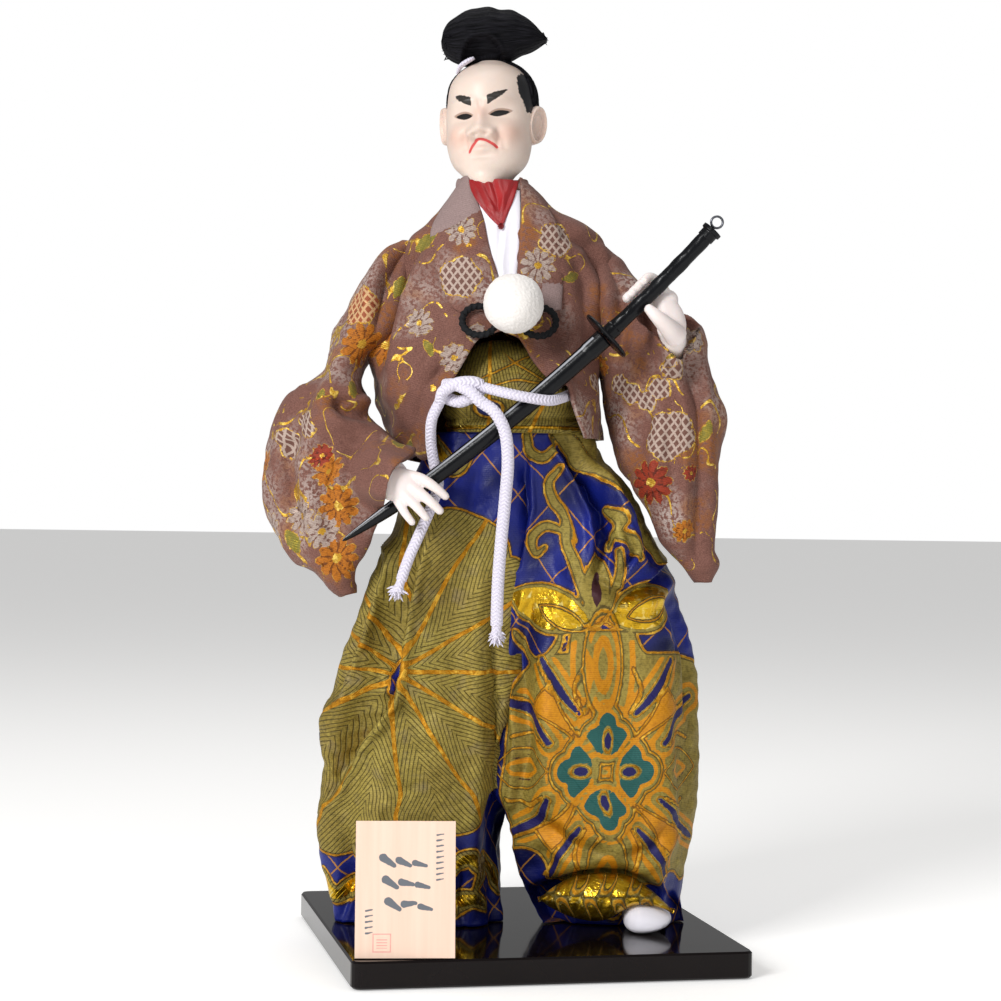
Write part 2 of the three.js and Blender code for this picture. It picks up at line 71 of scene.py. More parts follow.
def smoothLine(points, count):  # points spread along a smooth line, three coordinates eased through the given ones
    p = np.array(points, float)
    at = np.linspace(0, len(p) - 1, count)
    return np.stack([through(list(enumerate(p[:, k])), at) for k in range(p.shape[1])], -1)


def unit(v):
    return v / np.maximum(np.linalg.norm(v, axis=-1, keepdims=True), 1e-9)


def outward(grid, around=True):  # unit normals of a grid: across its columns times along its rows
    if around:
        across = np.roll(grid, -1, 1) - np.roll(grid, 1, 1)
    else:
        across = np.gradient(grid, axis=1)
    return unit(np.cross(across, np.gradient(grid, axis=0)))


def turns(count):  # angles evenly round a ring, from its back
    return math.pi / 2 + 2 * math.pi * np.arange(count) / count


def smoothStep(value, low, high):  # 0 below low, 1 above high, and t * t * (3 - 2 * t) between
    t = np.clip((value - low) / (high - low), 0, 1)
    return t * t * (3 - 2 * t)


def ringStack(section, z, angle):  # level rings: x = middle + half |cos|^p, y the same with sin, y leaned by x
    left, right, front, back, power, lean = section(z[:, None])
    c, s = np.cos(angle)[None, :], np.sin(angle)[None, :]
    across = (right - left) / 2 * np.sign(c) * np.abs(c) ** power
    deep = (back - front) / 2 * np.sign(s) * np.abs(s) ** power
    x = (left + right) / 2 + across
    y = (front + back) / 2 + deep + lean * across
    return np.stack([x, y, np.broadcast_to(z[:, None], x.shape)], -1)


def waves(points, size, seed, count=7):  # soft noise: a mean of sines in seeded directions, size in millimetres
    rng = np.random.default_rng(seed)
    total = np.zeros(points.shape[:-1])
    for k in range(count):
        direction = unit(rng.normal(size=3)) * 2 * math.pi / (size * rng.uniform(0.6, 1.5))
        total += np.sin(points @ direction + rng.uniform(0, 2 * math.pi))
    return total / math.sqrt(count)


def nearLine(x, z, line):  # signed distance to a broken line in the front view, minus on its left, and how far along it
    line = np.array(line, float)
    lengths = np.linalg.norm(np.diff(line, axis=0), axis=1)
    starts = np.concatenate([[0], np.cumsum(lengths)]) / lengths.sum()
    best = np.full(x.shape, 1e9)
    along = np.zeros(x.shape)
    for k, (a, b) in enumerate(zip(line[:-1], line[1:])):
        step = b - a
        t = np.clip(((x - a[0]) * step[0] + (z - a[1]) * step[1]) / (step @ step), 0, 1)
        d = np.hypot(x - a[0] - t * step[0], z - a[1] - t * step[1])
        closer = d < np.abs(best)
        best = np.where(closer, np.where((x - a[0]) * step[1] - (z - a[1]) * step[0] < 0, -d, d), best)
        along = np.where(closer, starts[k] + t * (starts[k + 1] - starts[k]), along)
    return best, along


def creased(grid, folds, around=True):
    # each fold is a valley with a low ridge beside it, fading at its ends and steep on one side,
    # 1 right, -1 left or 0 even
    normal = outward(grid, around)
    move = np.zeros(grid.shape[:2])
    for line, depth, width, facing, *steep in folds:
        signed, along = nearLine(grid[..., 0], grid[..., 2], line)
        sharp = np.where(np.sign(signed) == (steep or [0])[0], 0.4, 1.25 if steep else 1.0)
        d = np.abs(signed) / (width * sharp)
        fade = np.sin(math.pi * np.clip(along * 0.92 + 0.04, 0, 1)) ** 0.6
        valley = np.exp(-d ** 1.4) - 0.45 * np.exp(-(d - 2.2) ** 2)
        side = np.clip(0.5 - 2.5 * facing * normal[..., 1], 0, 1)
        move -= depth * valley * fade * side
    return grid + normal * move[..., None]


def surface(name, grid, around=True, ends=True, uv=None, fields=None):
    # a grid of figure millimetres as a mesh: quads between rows and columns, fans on the end rings
    rows, cols = grid.shape[:2]
    index = np.arange(rows * cols).reshape(rows, cols)
    wrapped = np.concatenate([index, index[:, :1]], 1) if around else index
    quads = np.stack([wrapped[:-1, :-1], wrapped[:-1, 1:], wrapped[1:, 1:], wrapped[1:, :-1]], -1).reshape(-1, 4)
    points = grid.reshape(-1, 3)
    faces = quads.tolist()
    if ends and around:
        points = np.concatenate([points, [grid[0].mean(0)], [grid[-1].mean(0)]])
        low, high = rows * cols, rows * cols + 1
        faces += [[wrapped[0, c + 1], wrapped[0, c], low] for c in range(cols)]
        faces += [[wrapped[-1, c], wrapped[-1, c + 1], high] for c in range(cols)]
    mesh = bpy.data.meshes.new(name)
    mesh.from_pydata(placed(points).tolist(), [], faces)
    if uv is not None:  # uv holds a value for every row and wrapped column
        u, v = np.broadcast_arrays(*uv)
        corners = np.stack([u[:-1, :-1], v[:-1, :-1], u[:-1, 1:], v[:-1, 1:],
                            u[1:, 1:], v[1:, 1:], u[1:, :-1], v[1:, :-1]], -1).reshape(-1)
        spare = np.zeros(2 * len(mesh.loops) - len(corners))
        layer = mesh.uv_layers.new(name="cloth")
        layer.uv.foreach_set("vector", np.concatenate([corners, spare]).astype(np.float32))
    for key, values in (fields or {}).items():
        spare = np.full(len(points) - rows * cols, float(np.mean(values[0])))
        attribute = mesh.attributes.new(key, "FLOAT", "POINT")
        attribute.data.foreach_set("value", np.concatenate([values.ravel(), spare]).astype(np.float32))
    mesh.polygons.foreach_set("use_smooth", np.ones(len(mesh.polygons), bool))
    mesh.validate()
    piece = bpy.data.objects.new(name, mesh)
    scene.collection.objects.link(piece)
    return piece


def joined(name, pieces):  # several meshes made one object, with their maps and attributes kept
    with bpy.context.temp_override(active_object=pieces[0], selected_editable_objects=pieces):
        bpy.ops.object.join()
    pieces[0].name = name
    return pieces[0]


def finished(piece, *modifiers):  # applies modifiers given as (kind, settings)
    for kind, settings in modifiers:
        modifier = piece.modifiers.new(kind.lower(), kind)
        for key, value in settings.items():
            setattr(modifier, key, value)
    evaluated = piece.evaluated_get(bpy.context.evaluated_depsgraph_get())
    mesh = bpy.data.meshes.new_from_object(evaluated)
    mesh.name = piece.name
    piece.modifiers.clear()
    piece.data = mesh
    mesh.polygons.foreach_set("use_smooth", np.ones(len(mesh.polygons), bool))
    return piece


def thickened(piece, thickness):  # an open surface made a sheet, inward from its face
    return finished(piece, ("SOLIDIFY", {"thickness": thickness, "offset": -1.0}))


def dressed(piece, material, slot, *nodes):  # gives a piece its material and hides the nodes it replaces; slot is not used
    piece.data.materials.clear()
    piece.data.materials.append(material)
    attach(piece, "root")
    if nodes:
        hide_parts(*nodes)


def rod(line, radius, sides=20, flat=(1, 1), reference=(0, 1, 0)):
    # rings square to a line: each ring is flat[0] radius wide along the reference side and flat[1] the other way
    line = np.asarray(line, float)
    radius = np.broadcast_to(radius, line.shape[0])[:, None, None]
    forward = unit(np.gradient(line, axis=0))
    side = unit(np.cross(forward, np.broadcast_to(np.array(reference, float), line.shape)))
    upright = np.cross(forward, side)
    angle = (np.arange(sides) * 2 * math.pi / sides)[None, :, None]
    return line[:, None] + radius * (np.cos(angle) * side[:, None] * flat[0] + np.sin(angle) * upright[:,
                                                                                                       None] * flat[1])


def ringUv(rows, cols, width, height):  # an even map of a ring grid, in millimetres
    u, v = np.linspace(0, width, cols + 1)[None, :], np.linspace(0, height, rows)[:, None]
    return np.broadcast_to(u, (rows, cols + 1)), np.broadcast_to(v, (rows, cols + 1))


def girthUv(grid, middle):  # a cloth map of rings: u runs round from the front's middle, v is the height
    closed = np.concatenate([grid, grid[:, :1]], 1)
    length = np.cumsum(np.linalg.norm(np.diff(closed, axis=1, prepend=closed[:, :1]), axis=2), 1)
    return middle[:, None] + length - length[:, -1:] / 2, closed[..., 2]


# Materials

def hexColour(code):  # sRGB hex as linear red, green, blue and 1
    value = [int(code[i:i + 2], 16) / 255 for i in (1, 3, 5)]
    return tuple(c / 12.92 if c <= 0.04045 else ((c + 0.055) / 1.055) ** 2.4 for c in value) + (1.0,)


def addNode(tree, kind, inputs=None, **settings):  # one node with its settings, input values and links
    node = tree.nodes.new("ShaderNode" + kind)
    for key, value in settings.items():
        setattr(node, key, value)
    for key, value in (inputs or {}).items():
        if isinstance(value, bpy.types.NodeSocket):
            tree.links.new(value, node.inputs[key])
        else:
            node.inputs[key].default_value = value
    return node


operators = {ast.Add: "ADD", ast.Sub: "SUBTRACT", ast.Mult: "MULTIPLY", ast.Div: "DIVIDE", ast.Pow: "POWER"}
callNames = {"sin": "SINE", "cos": "COSINE", "abs": "ABSOLUTE", "min": "MINIMUM", "max": "MAXIMUM", "sqrt": "SQRT",
             "atan2": "ARCTAN2", "fold": "PINGPONG", "wrap": "FRACT", "floor": "FLOOR", "over": "GREATER_THAN"}


def drawn(tree, text, parts):  # a written formula of named sockets and numbers as Math nodes; step(x) is a soft edge
    def build(term):
        if isinstance(term, ast.Constant):
            return float(term.value)
        if isinstance(term, ast.Name):
            return parts[term.id]
        if isinstance(term, ast.BinOp):
            ends = {0: build(term.left), 1: build(term.right)}
            return addNode(tree, "Math", ends, operation=operators[type(term.op)]).outputs[0]
        values = {i: build(argument) for i, argument in enumerate(term.args)}
        if term.func.id == "step":
            return addNode(tree, "Math", {**values, 1: 7.0, 2: 0.5}, operation="MULTIPLY_ADD",
                           use_clamp=True).outputs[0]
        return addNode(tree, "Math", values, operation=callNames[term.func.id]).outputs[0]
    return build(ast.parse(text).body[0].value)


def painted(tree, parts, base, *layers):  # a base colour with others laid over it in turn, each by its written factor
    def colour(key):
        return hexColour(key) if key.startswith("#") else parts[key]
    mixed = colour(base)
    for factor, over in layers:
        ends = {0: drawn(tree, factor, parts), 6: mixed, 7: colour(over)}
        mixed = addNode(tree, "Mix", ends, data_type="RGBA").outputs[2]
    return mixed


def written(tree, parts, **items):  # names new parts in turn: a text is a formula, and a tuple is colours to paint
    for key, item in items.items():
        parts[key] = drawn(tree, item, parts) if isinstance(item, str) else painted(tree, parts, *item)


def newMaterial(name, noises, reads=""):
    # a material, its tree and shader, and its parts: noises as (scale, detail, warp), and uv of the cloth map or xyz
    material = bpy.data.materials.new(name)
    material.use_nodes = True
    tree = material.node_tree
    at = addNode(tree, "TexCoord").outputs["Object"]
    parts = {}
    for key, values in noises.items():
        inputs = {"Vector": at, **dict(zip(("Scale", "Detail", "Distortion"), values))}
        parts[key] = addNode(tree, "TexNoise", inputs).outputs["Fac"]
    if reads:
        source = addNode(tree, "UVMap", uv_map="cloth").outputs[0] if reads == "uv" else at
        parts.update(zip(reads, addNode(tree, "SeparateXYZ", {0: source}).outputs))
    return material, tree, tree.nodes["Principled BSDF"], parts


def fieldOf(tree, key):  # a number that the mesh carries at its points
    return addNode(tree, "Attribute", attribute_name=key).outputs["Fac"]


def feed(tree, shader, parts, roughness, height, depth, metal=None):
    # links a finish: the painted colour, and formulas for roughness, relief of this depth in metres, and metal
    relief = addNode(tree, "Bump", {"Height": drawn(tree, height, parts), "Distance": depth}).outputs["Normal"]
    tree.links.new(parts["colour"], shader.inputs["Base Color"])
    tree.links.new(drawn(tree, roughness, parts), shader.inputs["Roughness"])
    tree.links.new(relief, shader.inputs["Normal"])
    if metal:
        tree.links.new(drawn(tree, metal, parts), shader.inputs["Metallic"])


# Camera
cameraSet = {"place": (-0.1564, -0.7024, 0.1392), "yaw": 12.07, "pitch": 0.07, "roll": 0.91, "lens": 82.0}
camera = bpy.data.objects.new("camera", bpy.data.cameras.new("camera"))
camera.data.lens = cameraSet["lens"]
camera.data.sensor_width = 36
camera.data.clip_start = 0.01
camera.matrix_world = (Matrix.Translation(cameraSet["place"])
                       @ Matrix.Rotation(-math.radians(cameraSet["yaw"]), 4, "Z")
                       @ Matrix.Rotation(math.pi / 2 + math.radians(cameraSet["pitch"]), 4, "X")
                       @ Matrix.Rotation(math.radians(cameraSet["roll"]), 4, "Z"))
scene.collection.objects.link(camera)
scene.camera = camera
print("camera placed")

# Cords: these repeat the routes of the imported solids. Sizes in millimetres, a plait's as length along and share round
cordSet = {"long": 1.85, "waist": 1.6, "short": 1.65, "plait": 1.15, "around": 3.45, "slant": 1.4, "sides": 32,
           "row": 0.27}
longEnd = [[-12.6, -39.4, 169.5], [-8, -41.5, 166], [-5, -41.8, 160], [-4.1, -40.5, 151.5], [-4.6, -38.6, 142],
           [-5.7, -37.6, 128], [-6.5, -37, 114], [-6.7, -36.8, 98]]
shortEnd = [[-24.6, -33.4, 170], [-27.2, -32, 164], [-27.4, -29.6, 157], [-26.2, -29, 150], [-25, -30.6, 144.5],
            [-27, -34.4, 137.5], [-30.5, -36.6, 129], [-33.6, -36.8, 121.5], [-36.8, -36.8, 111.4]]
waistLine = [[-12.6, -37.5, 174], [-6, -40.4, 172.3], [1, -40.6, 170.9], [8, -37, 170.2], [12, -30, 171.4],
             [14.4, -22.6, 172.6], [16, -15, 173]]
wrapLines = [  # over the knot, across it, and behind
    [[-12.4, -37.6, 174.4], [-15, -38.6, 175.2], [-19.5, -38.2, 174.8], [-23.6, -36, 172.6], [-24.6, -33.8, 169.6]],
    [[-23.2, -33.6, 174.6], [-20, -37.2, 174.4], [-16, -39.4, 172.6], [-13.4, -40, 170.2], [-11.6, -39.8, 168.8]],
    [[-22.4, -32.2, 170.4], [-18.6, -34, 169.6], [-14.6, -35.6, 171.4], [-12.2, -36.6, 173.6]]]

# Braided cotton cord: matt lilac-white threads in slanting plaits that meet as a V, lighter on the plaits' ridges with
# painted shade in the grooves between them
cordCloth, tree, shader, parts = newMaterial("braidedCottonCord", {"fibre": (2400, 3)}, "uv")
parts.update(plaitLength=cordSet["plait"], around=cordSet["around"], slant=cordSet["slant"])
# the darker colour in the grooves between the plaits is painted shade
written(tree, parts, plait="1 - fold(v / plaitLength + abs(wrap(u / around) - 0.5) * slant, 0.5) * 2",
        colour=("#BDB6CB", ("min(plait * 0.9 + fibre * 0.8, 1)", "#DFDAE8")))
feed(tree, shader, parts, "0.8 + fibre * 0.12", "plait + fibre * 0.5", 0.00025)
shader.inputs["Sheen Weight"].default_value = 0.25


def braided(name, line, radius, frayed=True):
    # a tube whose surface rises and falls with the plaits: |wrap(v / plait + |wrap(4 turn) - 1/2| slant) - 1/2|
    path = smoothLine(line, 400)
    lengths = np.concatenate([[0], np.cumsum(np.linalg.norm(np.diff(path, axis=0), axis=1))])
    rows, sides = int(lengths[-1] / cordSet["row"]), cordSet["sides"]
    at = np.linspace(0, lengths[-1], rows)
    path = np.stack([np.interp(at, lengths, path[:, k]) for k in range(3)], -1)
    radii = np.full(rows, radius)
    if frayed:  # a bound end: a narrow wrap and then a spread tuft
        fromEnd = lengths[-1] - at
        radii = radius * np.where(fromEnd < 4.6, 0.8 + 0.24 * np.clip((3.2 - fromEnd) / 1.6, 0, 1), 1.0)
        radii *= 1 - 0.75 * np.clip((0.9 - fromEnd) / 0.9, 0, 1)
    grid = rod(path, radii, sides)
    slant = np.abs((np.arange(sides) / sides)[None, :] * 4 % 1 - 0.5) * cordSet["slant"]
    fold = np.abs((at[:, None] / cordSet["plait"] + slant) % 1 - 0.5)
    grid = grid + outward(grid) * (0.14 * fold - 0.03)[..., None] * (radius / 2.2)
    piece = surface(name, grid, uv=ringUv(rows, sides, 4 * cordSet["around"], at[-1]))
    return piece, placed(path), at[-1] / 1000


def tufts(centre, forward, radius, count, seed):  # short thin threads fanning from a cord's end
    rng = np.random.default_rng(seed)
    pieces = []
    for _ in range(count):
        out = unit(np.array(forward) * 0.6 + rng.normal(size=3) * np.array([1.5, 0.5, 0.4]))
        start = np.array(centre) + rng.normal(size=3) * radius * 0.35
        line = start + out * np.linspace(0, rng.uniform(1.4, 3.0), 5)[:, None]
        line[:, 2] -= np.linspace(0, 1, 5) ** 2 * 0.5
        pieces.append(surface("thread", rod(line, [0.42, 0.4, 0.36, 0.26, 0.1], 6, reference=(0.3, 1, 0.2)),
                              uv=ringUv(5, 6, 2, 2)))
    return pieces


for name, line, radius, seed in (("long_cord", longEnd, cordSet["long"], 3),
                                 ("short_cord", shortEnd, cordSet["short"], 5)):
    tube, path, length = braided(name, line, radius)
    beforeLast, last = np.array(line[-2:])
    tube = joined(name, [tube] + tufts(last + np.array([0, 0, 1.5]), unit(last - beforeLast), radius, 34, seed))
    dressed(tube, cordCloth, "white_cord", name + "_end")
waistTube = braided("waist_cord_front", waistLine, cordSet["waist"], frayed=False)[0]
dressed(waistTube, cordCloth, "white_cord", "waist_cord")
wraps = [braided("wrap", line, cordSet["long"], frayed=False)[0] for line in wrapLines]
dressed(joined("cord_knot_wraps", wraps), cordCloth, "white_cord", "cord_knot")
print("cords made")


# Trousers: two stuffed legs of brocade, stacks of level rings whose sides, front and back follow curves over height
trouserSet = {"rows": 190, "columns": 230, "bottom": 8.3, "top": 161, "power": 0.8, "calmAt": 157.5, "swell": 0.045,
              "bulges": 7, "wave": 1.1, "depth": 1.6, "ruffle": 0.9, "tuck": 11.5, "otherMap": 400}
leftHem = [[8, -55.2], [15, -56.6], [24, -59.8], [38, -61.2], [55, -60.9], [75, -58.8], [100, -51], [118, -46.4],
           [132, -37.5], [158, -28.4]]
rightHem = [[8, 52.2], [18, 51.2], [38, 54.6], [55, 55.2], [90, 53.2], [121, 47.2], [127.4, 43.6], [136, 39],
            [143, 34.6], [148.4, 30.6],
            [153, 25], [160, 21]]
legFront = [[8, -19], [45, -24], [100, -24], [135, -23], [158, -19]]
legBack = [[8, 22], [45, 28], [100, 28], [130, 25], [158, 19]]
innerLeft = [[8, -4.9], [26, -4.6], [43, -3.4], [51, 3], [158, 6]]
innerRight = [[8, 9], [18, 4.2], [26, 1.4], [43, -2.9], [51, -9], [158, -12]]
leftMiddle = [[8, -31], [38, -33.5], [60, -29], [100, -23], [132, -16],
              [158, -11]]  # where each leg's front centre is in x
rightMiddle = [[8, 28], [40, 26.5], [60, 24], [110, 20.5], [135, 14], [158, 5]]
frontHem = [[2, 17], [8, 20.4], [21, 26.8], [34, 27.4], [42, 23], [49, 17.6], [54, 12]]  # lower edge over the foot

# Folds: the line in x and z, depth, width and the side they are on, 1 in front and -1 behind
leftFolds = [([[-31, 128], [-33.5, 118], [-35.9, 103.2], [-37.1, 94], [-39.1, 80.7], [-47, 68.3], [-58, 48]], 5.4, 3.6,
              1, -1),
             ([[-22, 154], [-27, 140], [-31, 126]], 2.2, 2.0, 1, -1), ([[-12, 154], [-15, 132], [-14, 110]], 1.2, 3.2,
                                                                       1),
             ([[-42, 122], [-48, 100], [-55, 78]], 3.2, 2.6, 1, -1), ([[-5, 124], [-6, 92], [-4, 60], [-7, 30]], 3.0,
                                                                      3.2, 1),
             ([[-40, 42], [-35, 26], [-38, 12]], 1.8, 1.8, 1, 1), ([[-28, 34], [-24, 20], [-26, 9]], 1.6, 1.6, 1, -1),
             ([[-16, 28], [-18, 16], [-15, 8]], 1.6, 1.6, 1, 1), ([[-52, 38], [-49, 24], [-53, 10]], 1.8, 1.8, 1, -1),
             ([[-46, 78], [-32, 73], [-20, 77]], 0.8, 2.6, 1), ([[-52, 60], [-40, 52], [-24, 50]], 0.7, 3.0, 1),
             ([[-20, 150], [-30, 110], [-38, 60], [-36, 16]], 2.6, 3.4, -1, 1),
             ([[-8, 150], [-14, 100], [-18, 40]], 2.4, 3.0, -1, -1),
             ([[-28, 140], [-46, 90], [-52, 40]], 2.2, 2.8, -1, 1)]
rightFolds = [([[10, 160], [14.6, 152.6], [19.4, 145], [23.4, 137], [24.6, 129], [23.6, 119]], 5.4, 2.8, 1, 1),
              ([[19, 157], [28, 147], [36, 135], [41, 122]], 2.2, 2.4, 1, 1),
              ([[1, 156], [2, 138], [-1, 120]], 2.4, 2.2, 1, -1),
              ([[48, 121.4], [40, 115], [31, 112.4], [24, 116.4]], 2.4, 1.7, 1, 1),
              ([[31, 133], [35, 125], [31, 117]], 2.2, 1.5, 1, -1),
              ([[24, 134], [28, 126], [27, 119]], 1.6, 1.3, 1, 1), ([[13, 124], [17, 116], [16, 109]], 1.4, 1.4, 1, -1),
              ([[46, 110], [52, 92], [53, 74]], 1.8, 2.4, 1, 1), ([[4, 112], [0, 92], [2, 66], [0, 40]], 2.2, 2.8, 1,
                                                                  1),
              ([[7, 42], [17, 34.5], [28, 32]], 1.5, 2.0, 1), ([[48, 42], [42, 33.5], [33, 30.5]], 1.6, 1.9, 1),
              ([[12, 150], [22, 105], [30, 60], [30, 16]], 2.6, 3.4, -1, -1),
              ([[2, 150], [8, 100], [12, 40]], 2.4, 3.0, -1, 1),
              ([[22, 140], [40, 90], [45, 40]], 2.2, 2.8, -1, -1)]


def circleGap(u, v, x, z, radius):  # distance outside a circle
    return np.hypot(u - x, v - z) - radius


def ovalGap(u, v, x, z, halfWidth, halfHeight, turn=0.0):  # distance outside an oval, near enough at its edge
    c, s = math.cos(turn), math.sin(turn)
    a, b = ((u - x) * c + (v - z) * s) / halfWidth, ((v - z) * c - (u - x) * s) / halfHeight
    return (np.hypot(a, b) - 1) * min(halfWidth, halfHeight)


def leafGap(u, v, x, z, halfLength, halfWidth, turn):  # distance outside a pointed leaf that lies along turn
    c, s = math.cos(turn), math.sin(turn)
    along, across = (u - x) * c + (v - z) * s, (v - z) * c - (u - x) * s
    return np.maximum(np.abs(across) - halfWidth * (1 - (along / halfLength) ** 2), np.abs(along) - halfLength)


def strokeGap(u, v, line, halfWidth):  # distance outside a band drawn along a smooth line
    d, along = nearLine(u, v, smoothLine(line, 24))
    return np.abs(d) - halfWidth * (0.45 + 0.55 * np.sin(math.pi * np.clip(along * 0.9 + 0.08, 0, 1)))


brocadeKeys = ("olive", "orange", "maroon", "navy", "teal", "gilt", "rim", "ringed")


def brocadeFields(shape, **known):  # the brocade's distances, far off where they aren't given
    return {key: known.get(key, np.full(shape, farOff)) for key in brocadeKeys}


def nearest(*gaps):
    return np.minimum.reduce([np.clip(gap, -farOff, farOff) for gap in gaps])


def furthest(*gaps):  # inside only where every one is
    return np.maximum.reduce(np.broadcast_arrays(*gaps))


def rightLegPattern(u, v):  # a cross of four petals in a star, under a bud with two gilt leaves, and curls above
    def strokes(across, up, halfWidth, *lines):
        return nearest(*[strokeGap(across, up, line, halfWidth) for line in lines])

    middleU, middleV = 28.8, 57.8
    mu, mv = np.abs(u - middleU), np.abs(v - middleV)  # the same four ways from the cross's middle
    wide, tall = mu * 1.13, mv * 0.91
    petals = [np.maximum(nearest(circleGap(a, b, 0, 9.4, 4.9), circleGap(a, b, 4.1, 8.9, 3.5),
                                 ovalGap(a, b, 0, 13.4, 3.2, 3.0)),
                         (a * 1.15 + 1.3 - b) * 0.66) for a, b in ((wide, tall), (tall, wide))]
    cross = np.maximum(nearest(*petals), 2.4 - np.hypot(wide, tall))
    eyes = nearest(ovalGap(wide, tall, 0, 8.6, 1.3, 2.4), ovalGap(tall, wide, 0, 8.6, 1.3, 2.4))
    corners = nearest(ovalGap(u, v, 0.5, 24, 8, 9), ovalGap(u, v, 52.5, 17, 8, 9))
    body = furthest(((mu * np.where(u > middleU, 0.66, 1) / 33.5) ** 4 + (mv / 36.5) ** 4 - 1) * 9, -corners)
    diagonal, sideways = (mu + mv) / 1.414, (mu * 1.08 - mv) / 1.46
    star = furthest(np.abs(sideways) - 0.9 - 0.015 * np.clip(diagonal - 13, 0, 30) ** 2, 11.6 - diagonal, diagonal - 31,
                    -strokes(mu, mv, 1.5, [[9, 21], [16, 25], [21, 32]], [[21, 9], [27, 14], [35, 17]]))
    cores = [ovalGap(u, v, x, z, 4.0, h) for x, z, h in ((27.4, 90.4, 10.4), (28.8, 24.6, 9.0))]
    seeds = [leafGap(u, v, x, z, h, 1.7, math.pi / 2) for x, z, h in ((27.4, 90.4, 5.6), (28.8, 25.6, 5.0))]
    sides = leafGap(mu, mv, 27, 0, 9.5, 6.6, 0)
    leaves = nearest(leafGap(u, v, 10.2, 107.2, 15.5, 7.6, -0.3), leafGap(u, v, 40.2, 108, 12.5, 8.0, 0.36))
    hearts = nearest(leafGap(u, v, 14.6, 104.4, 8.4, 3.0, -0.45), leafGap(u, v, 41.4, 107.4, 7.0, 3.4, 0.36))
    bud = nearest(leafGap(u, v, 24.6, 113.6, 11.6, 4.8, 1.62), strokes(u, v, 1.9,
                                                                       [[13.4, 136], [14.8, 127], [18.6, 118],
                                                                        [24, 104]]),
                  strokes(u, v, 1.6, [[30.6, 125], [31.6, 118], [29.4, 110], [26, 103]]))
    vines = strokes(
        u, v, 1.7, [[-1, 100], [2, 93], [8, 90.5], [13, 95], [15, 101]], [[36, 101], [38.6, 94], [44, 90.5], [51, 92]],
        [[2.4, 163], [2.4, 156], [7, 153.4], [11, 157], [9.6, 161]],
        [[11.6, 150], [8.2, 146], [9.8, 140.6], [13, 136.6], [17, 128]],
        [[14, 131], [8, 132.6], [3.6, 129], [4.6, 124], [8, 126]], [[37, 123], [33.4, 128], [29, 130], [27.6, 126]],
        [[26, 138], [30, 134], [29.6, 129]])
    slope = v - 161 + (u - 10.2) * 1.06  # the outer panel, right of this line
    arcs = nearest(strokes(mu, mv, 1.3, [[36, 22], [30.3, 19.4], [23, 15.4], [17, 8.6]]),
                   strokes(mu, mv, 1.1, [[20, 34], [16.6, 28], [13, 22.4], [9, 17.6]]))
    petalLines = nearest(*[np.abs(strokeGap(mu, mv, line, 0.2)) for line in
                           ([[8.2, 31.5], [10.4, 24.5], [7.4, 17.8]], [[31.8, 9.4], [25.4, 11.2], [18.4, 8.0]],
                            [[33.4, 22.6], [25.6, 19.2], [20.6, 16.6]],
                            [[21.6, 33.4], [17.2, 26.0], [14.6, 21.4]])]) - 0.1
    outline = nearest(np.abs(slope - 7) + 0.2 * (v < 121), cross - 0.2, cross - 2.4, sides, sides + 2.2, cores[0] - 2.4,
                      cores[0],
                      cores[0] + 1.9, cores[1] - 2.4, cores[1], star, hearts, petalLines)
    rims = nearest(np.abs(arcs - 2.7) - 0.75, np.abs(cores[0] - 5.4) - 0.8, np.abs(cores[1] - 5.4) - 0.8)
    rims = furthest(rims, nearest(body + 1.2, cores[0] - 7), 3.6 - cross, v - 98)
    orange = nearest(rims, np.maximum(cross - 1.2, -cross - 0.2), np.abs(cross - 3.4) - 0.45,
                     np.abs(cores[0] - 1.2) - 0.6, star,
                     *[np.maximum(core + 0.5, -seed) for core, seed in zip(cores, seeds)],
                     np.maximum(sides + 3.6, -(sides + 5.0)))
    maroon = nearest(np.maximum(np.abs(star + 0.5) - 0.3, 13 - diagonal), np.maximum(np.abs(sides + 3.0) - 0.25, sides),
                     leafGap(u, v, 24.6, 113.6, 6, 1.6, 1.62), np.abs(hearts) - 0.35)
    return brocadeFields(
        u.shape, olive=nearest(body, np.maximum(cores[0] - 7, v - 101), leaves, bud, vines,
                               np.maximum(-slope, 121 - v)),
        orange=orange, maroon=maroon, navy=nearest(eyes, arcs), teal=np.maximum(cross, -(eyes - 1.0)),
        gilt=np.maximum(leaves + 1.5, -(np.abs(hearts) - 0.6)),
        rim=np.where((v < 122) | (slope > -2), outline, farOff), ringed=nearest(eyes - 0.5, arcs - 0.5))


leafAt = (-37, 87.4)  # the middle of the big lotus leaf, in x and z


def leftLegPattern(u, v):  # part of one large lotus leaf, with bits of vine round it
    across, up = u - leafAt[0], v - leafAt[1]
    a = np.arctan2(up, across)
    reach = 49.5 + 3.2 * np.abs(np.cos(6 * a)) ** 0.6 + 8.5 * np.exp(-((a + 2.0) / 0.42) ** 2)  # its lobed outline
    leaf = np.hypot(across, up * 0.97) - reach
    leaf = np.maximum(leaf, -leafGap(u, v, -40.4, 86.8, 8.6, 1.5, 1.42))
    vines = [[[-28, 158], [-24, 152], [-20, 150], [-16, 154]], [[-10, 22], [-6, 28], [-1, 25], [2, 18]],
             [[-20, 26], [-15, 30], [-10, 26], [-12, 20]], [[-6, 14], [-14, 17], [-22, 13], [-30, 16]],
             [[-46, 16], [-52, 20], [-58, 17], [-63, 24]], [[-34, 12], [-42, 13], [-48, 9]]]
    bits = nearest(*[strokeGap(u, v, line, 3.3) for line in vines])
    return brocadeFields(u.shape, olive=nearest(leaf, bits), gilt=bits + 1.6, rim=nearest(leaf, bits))


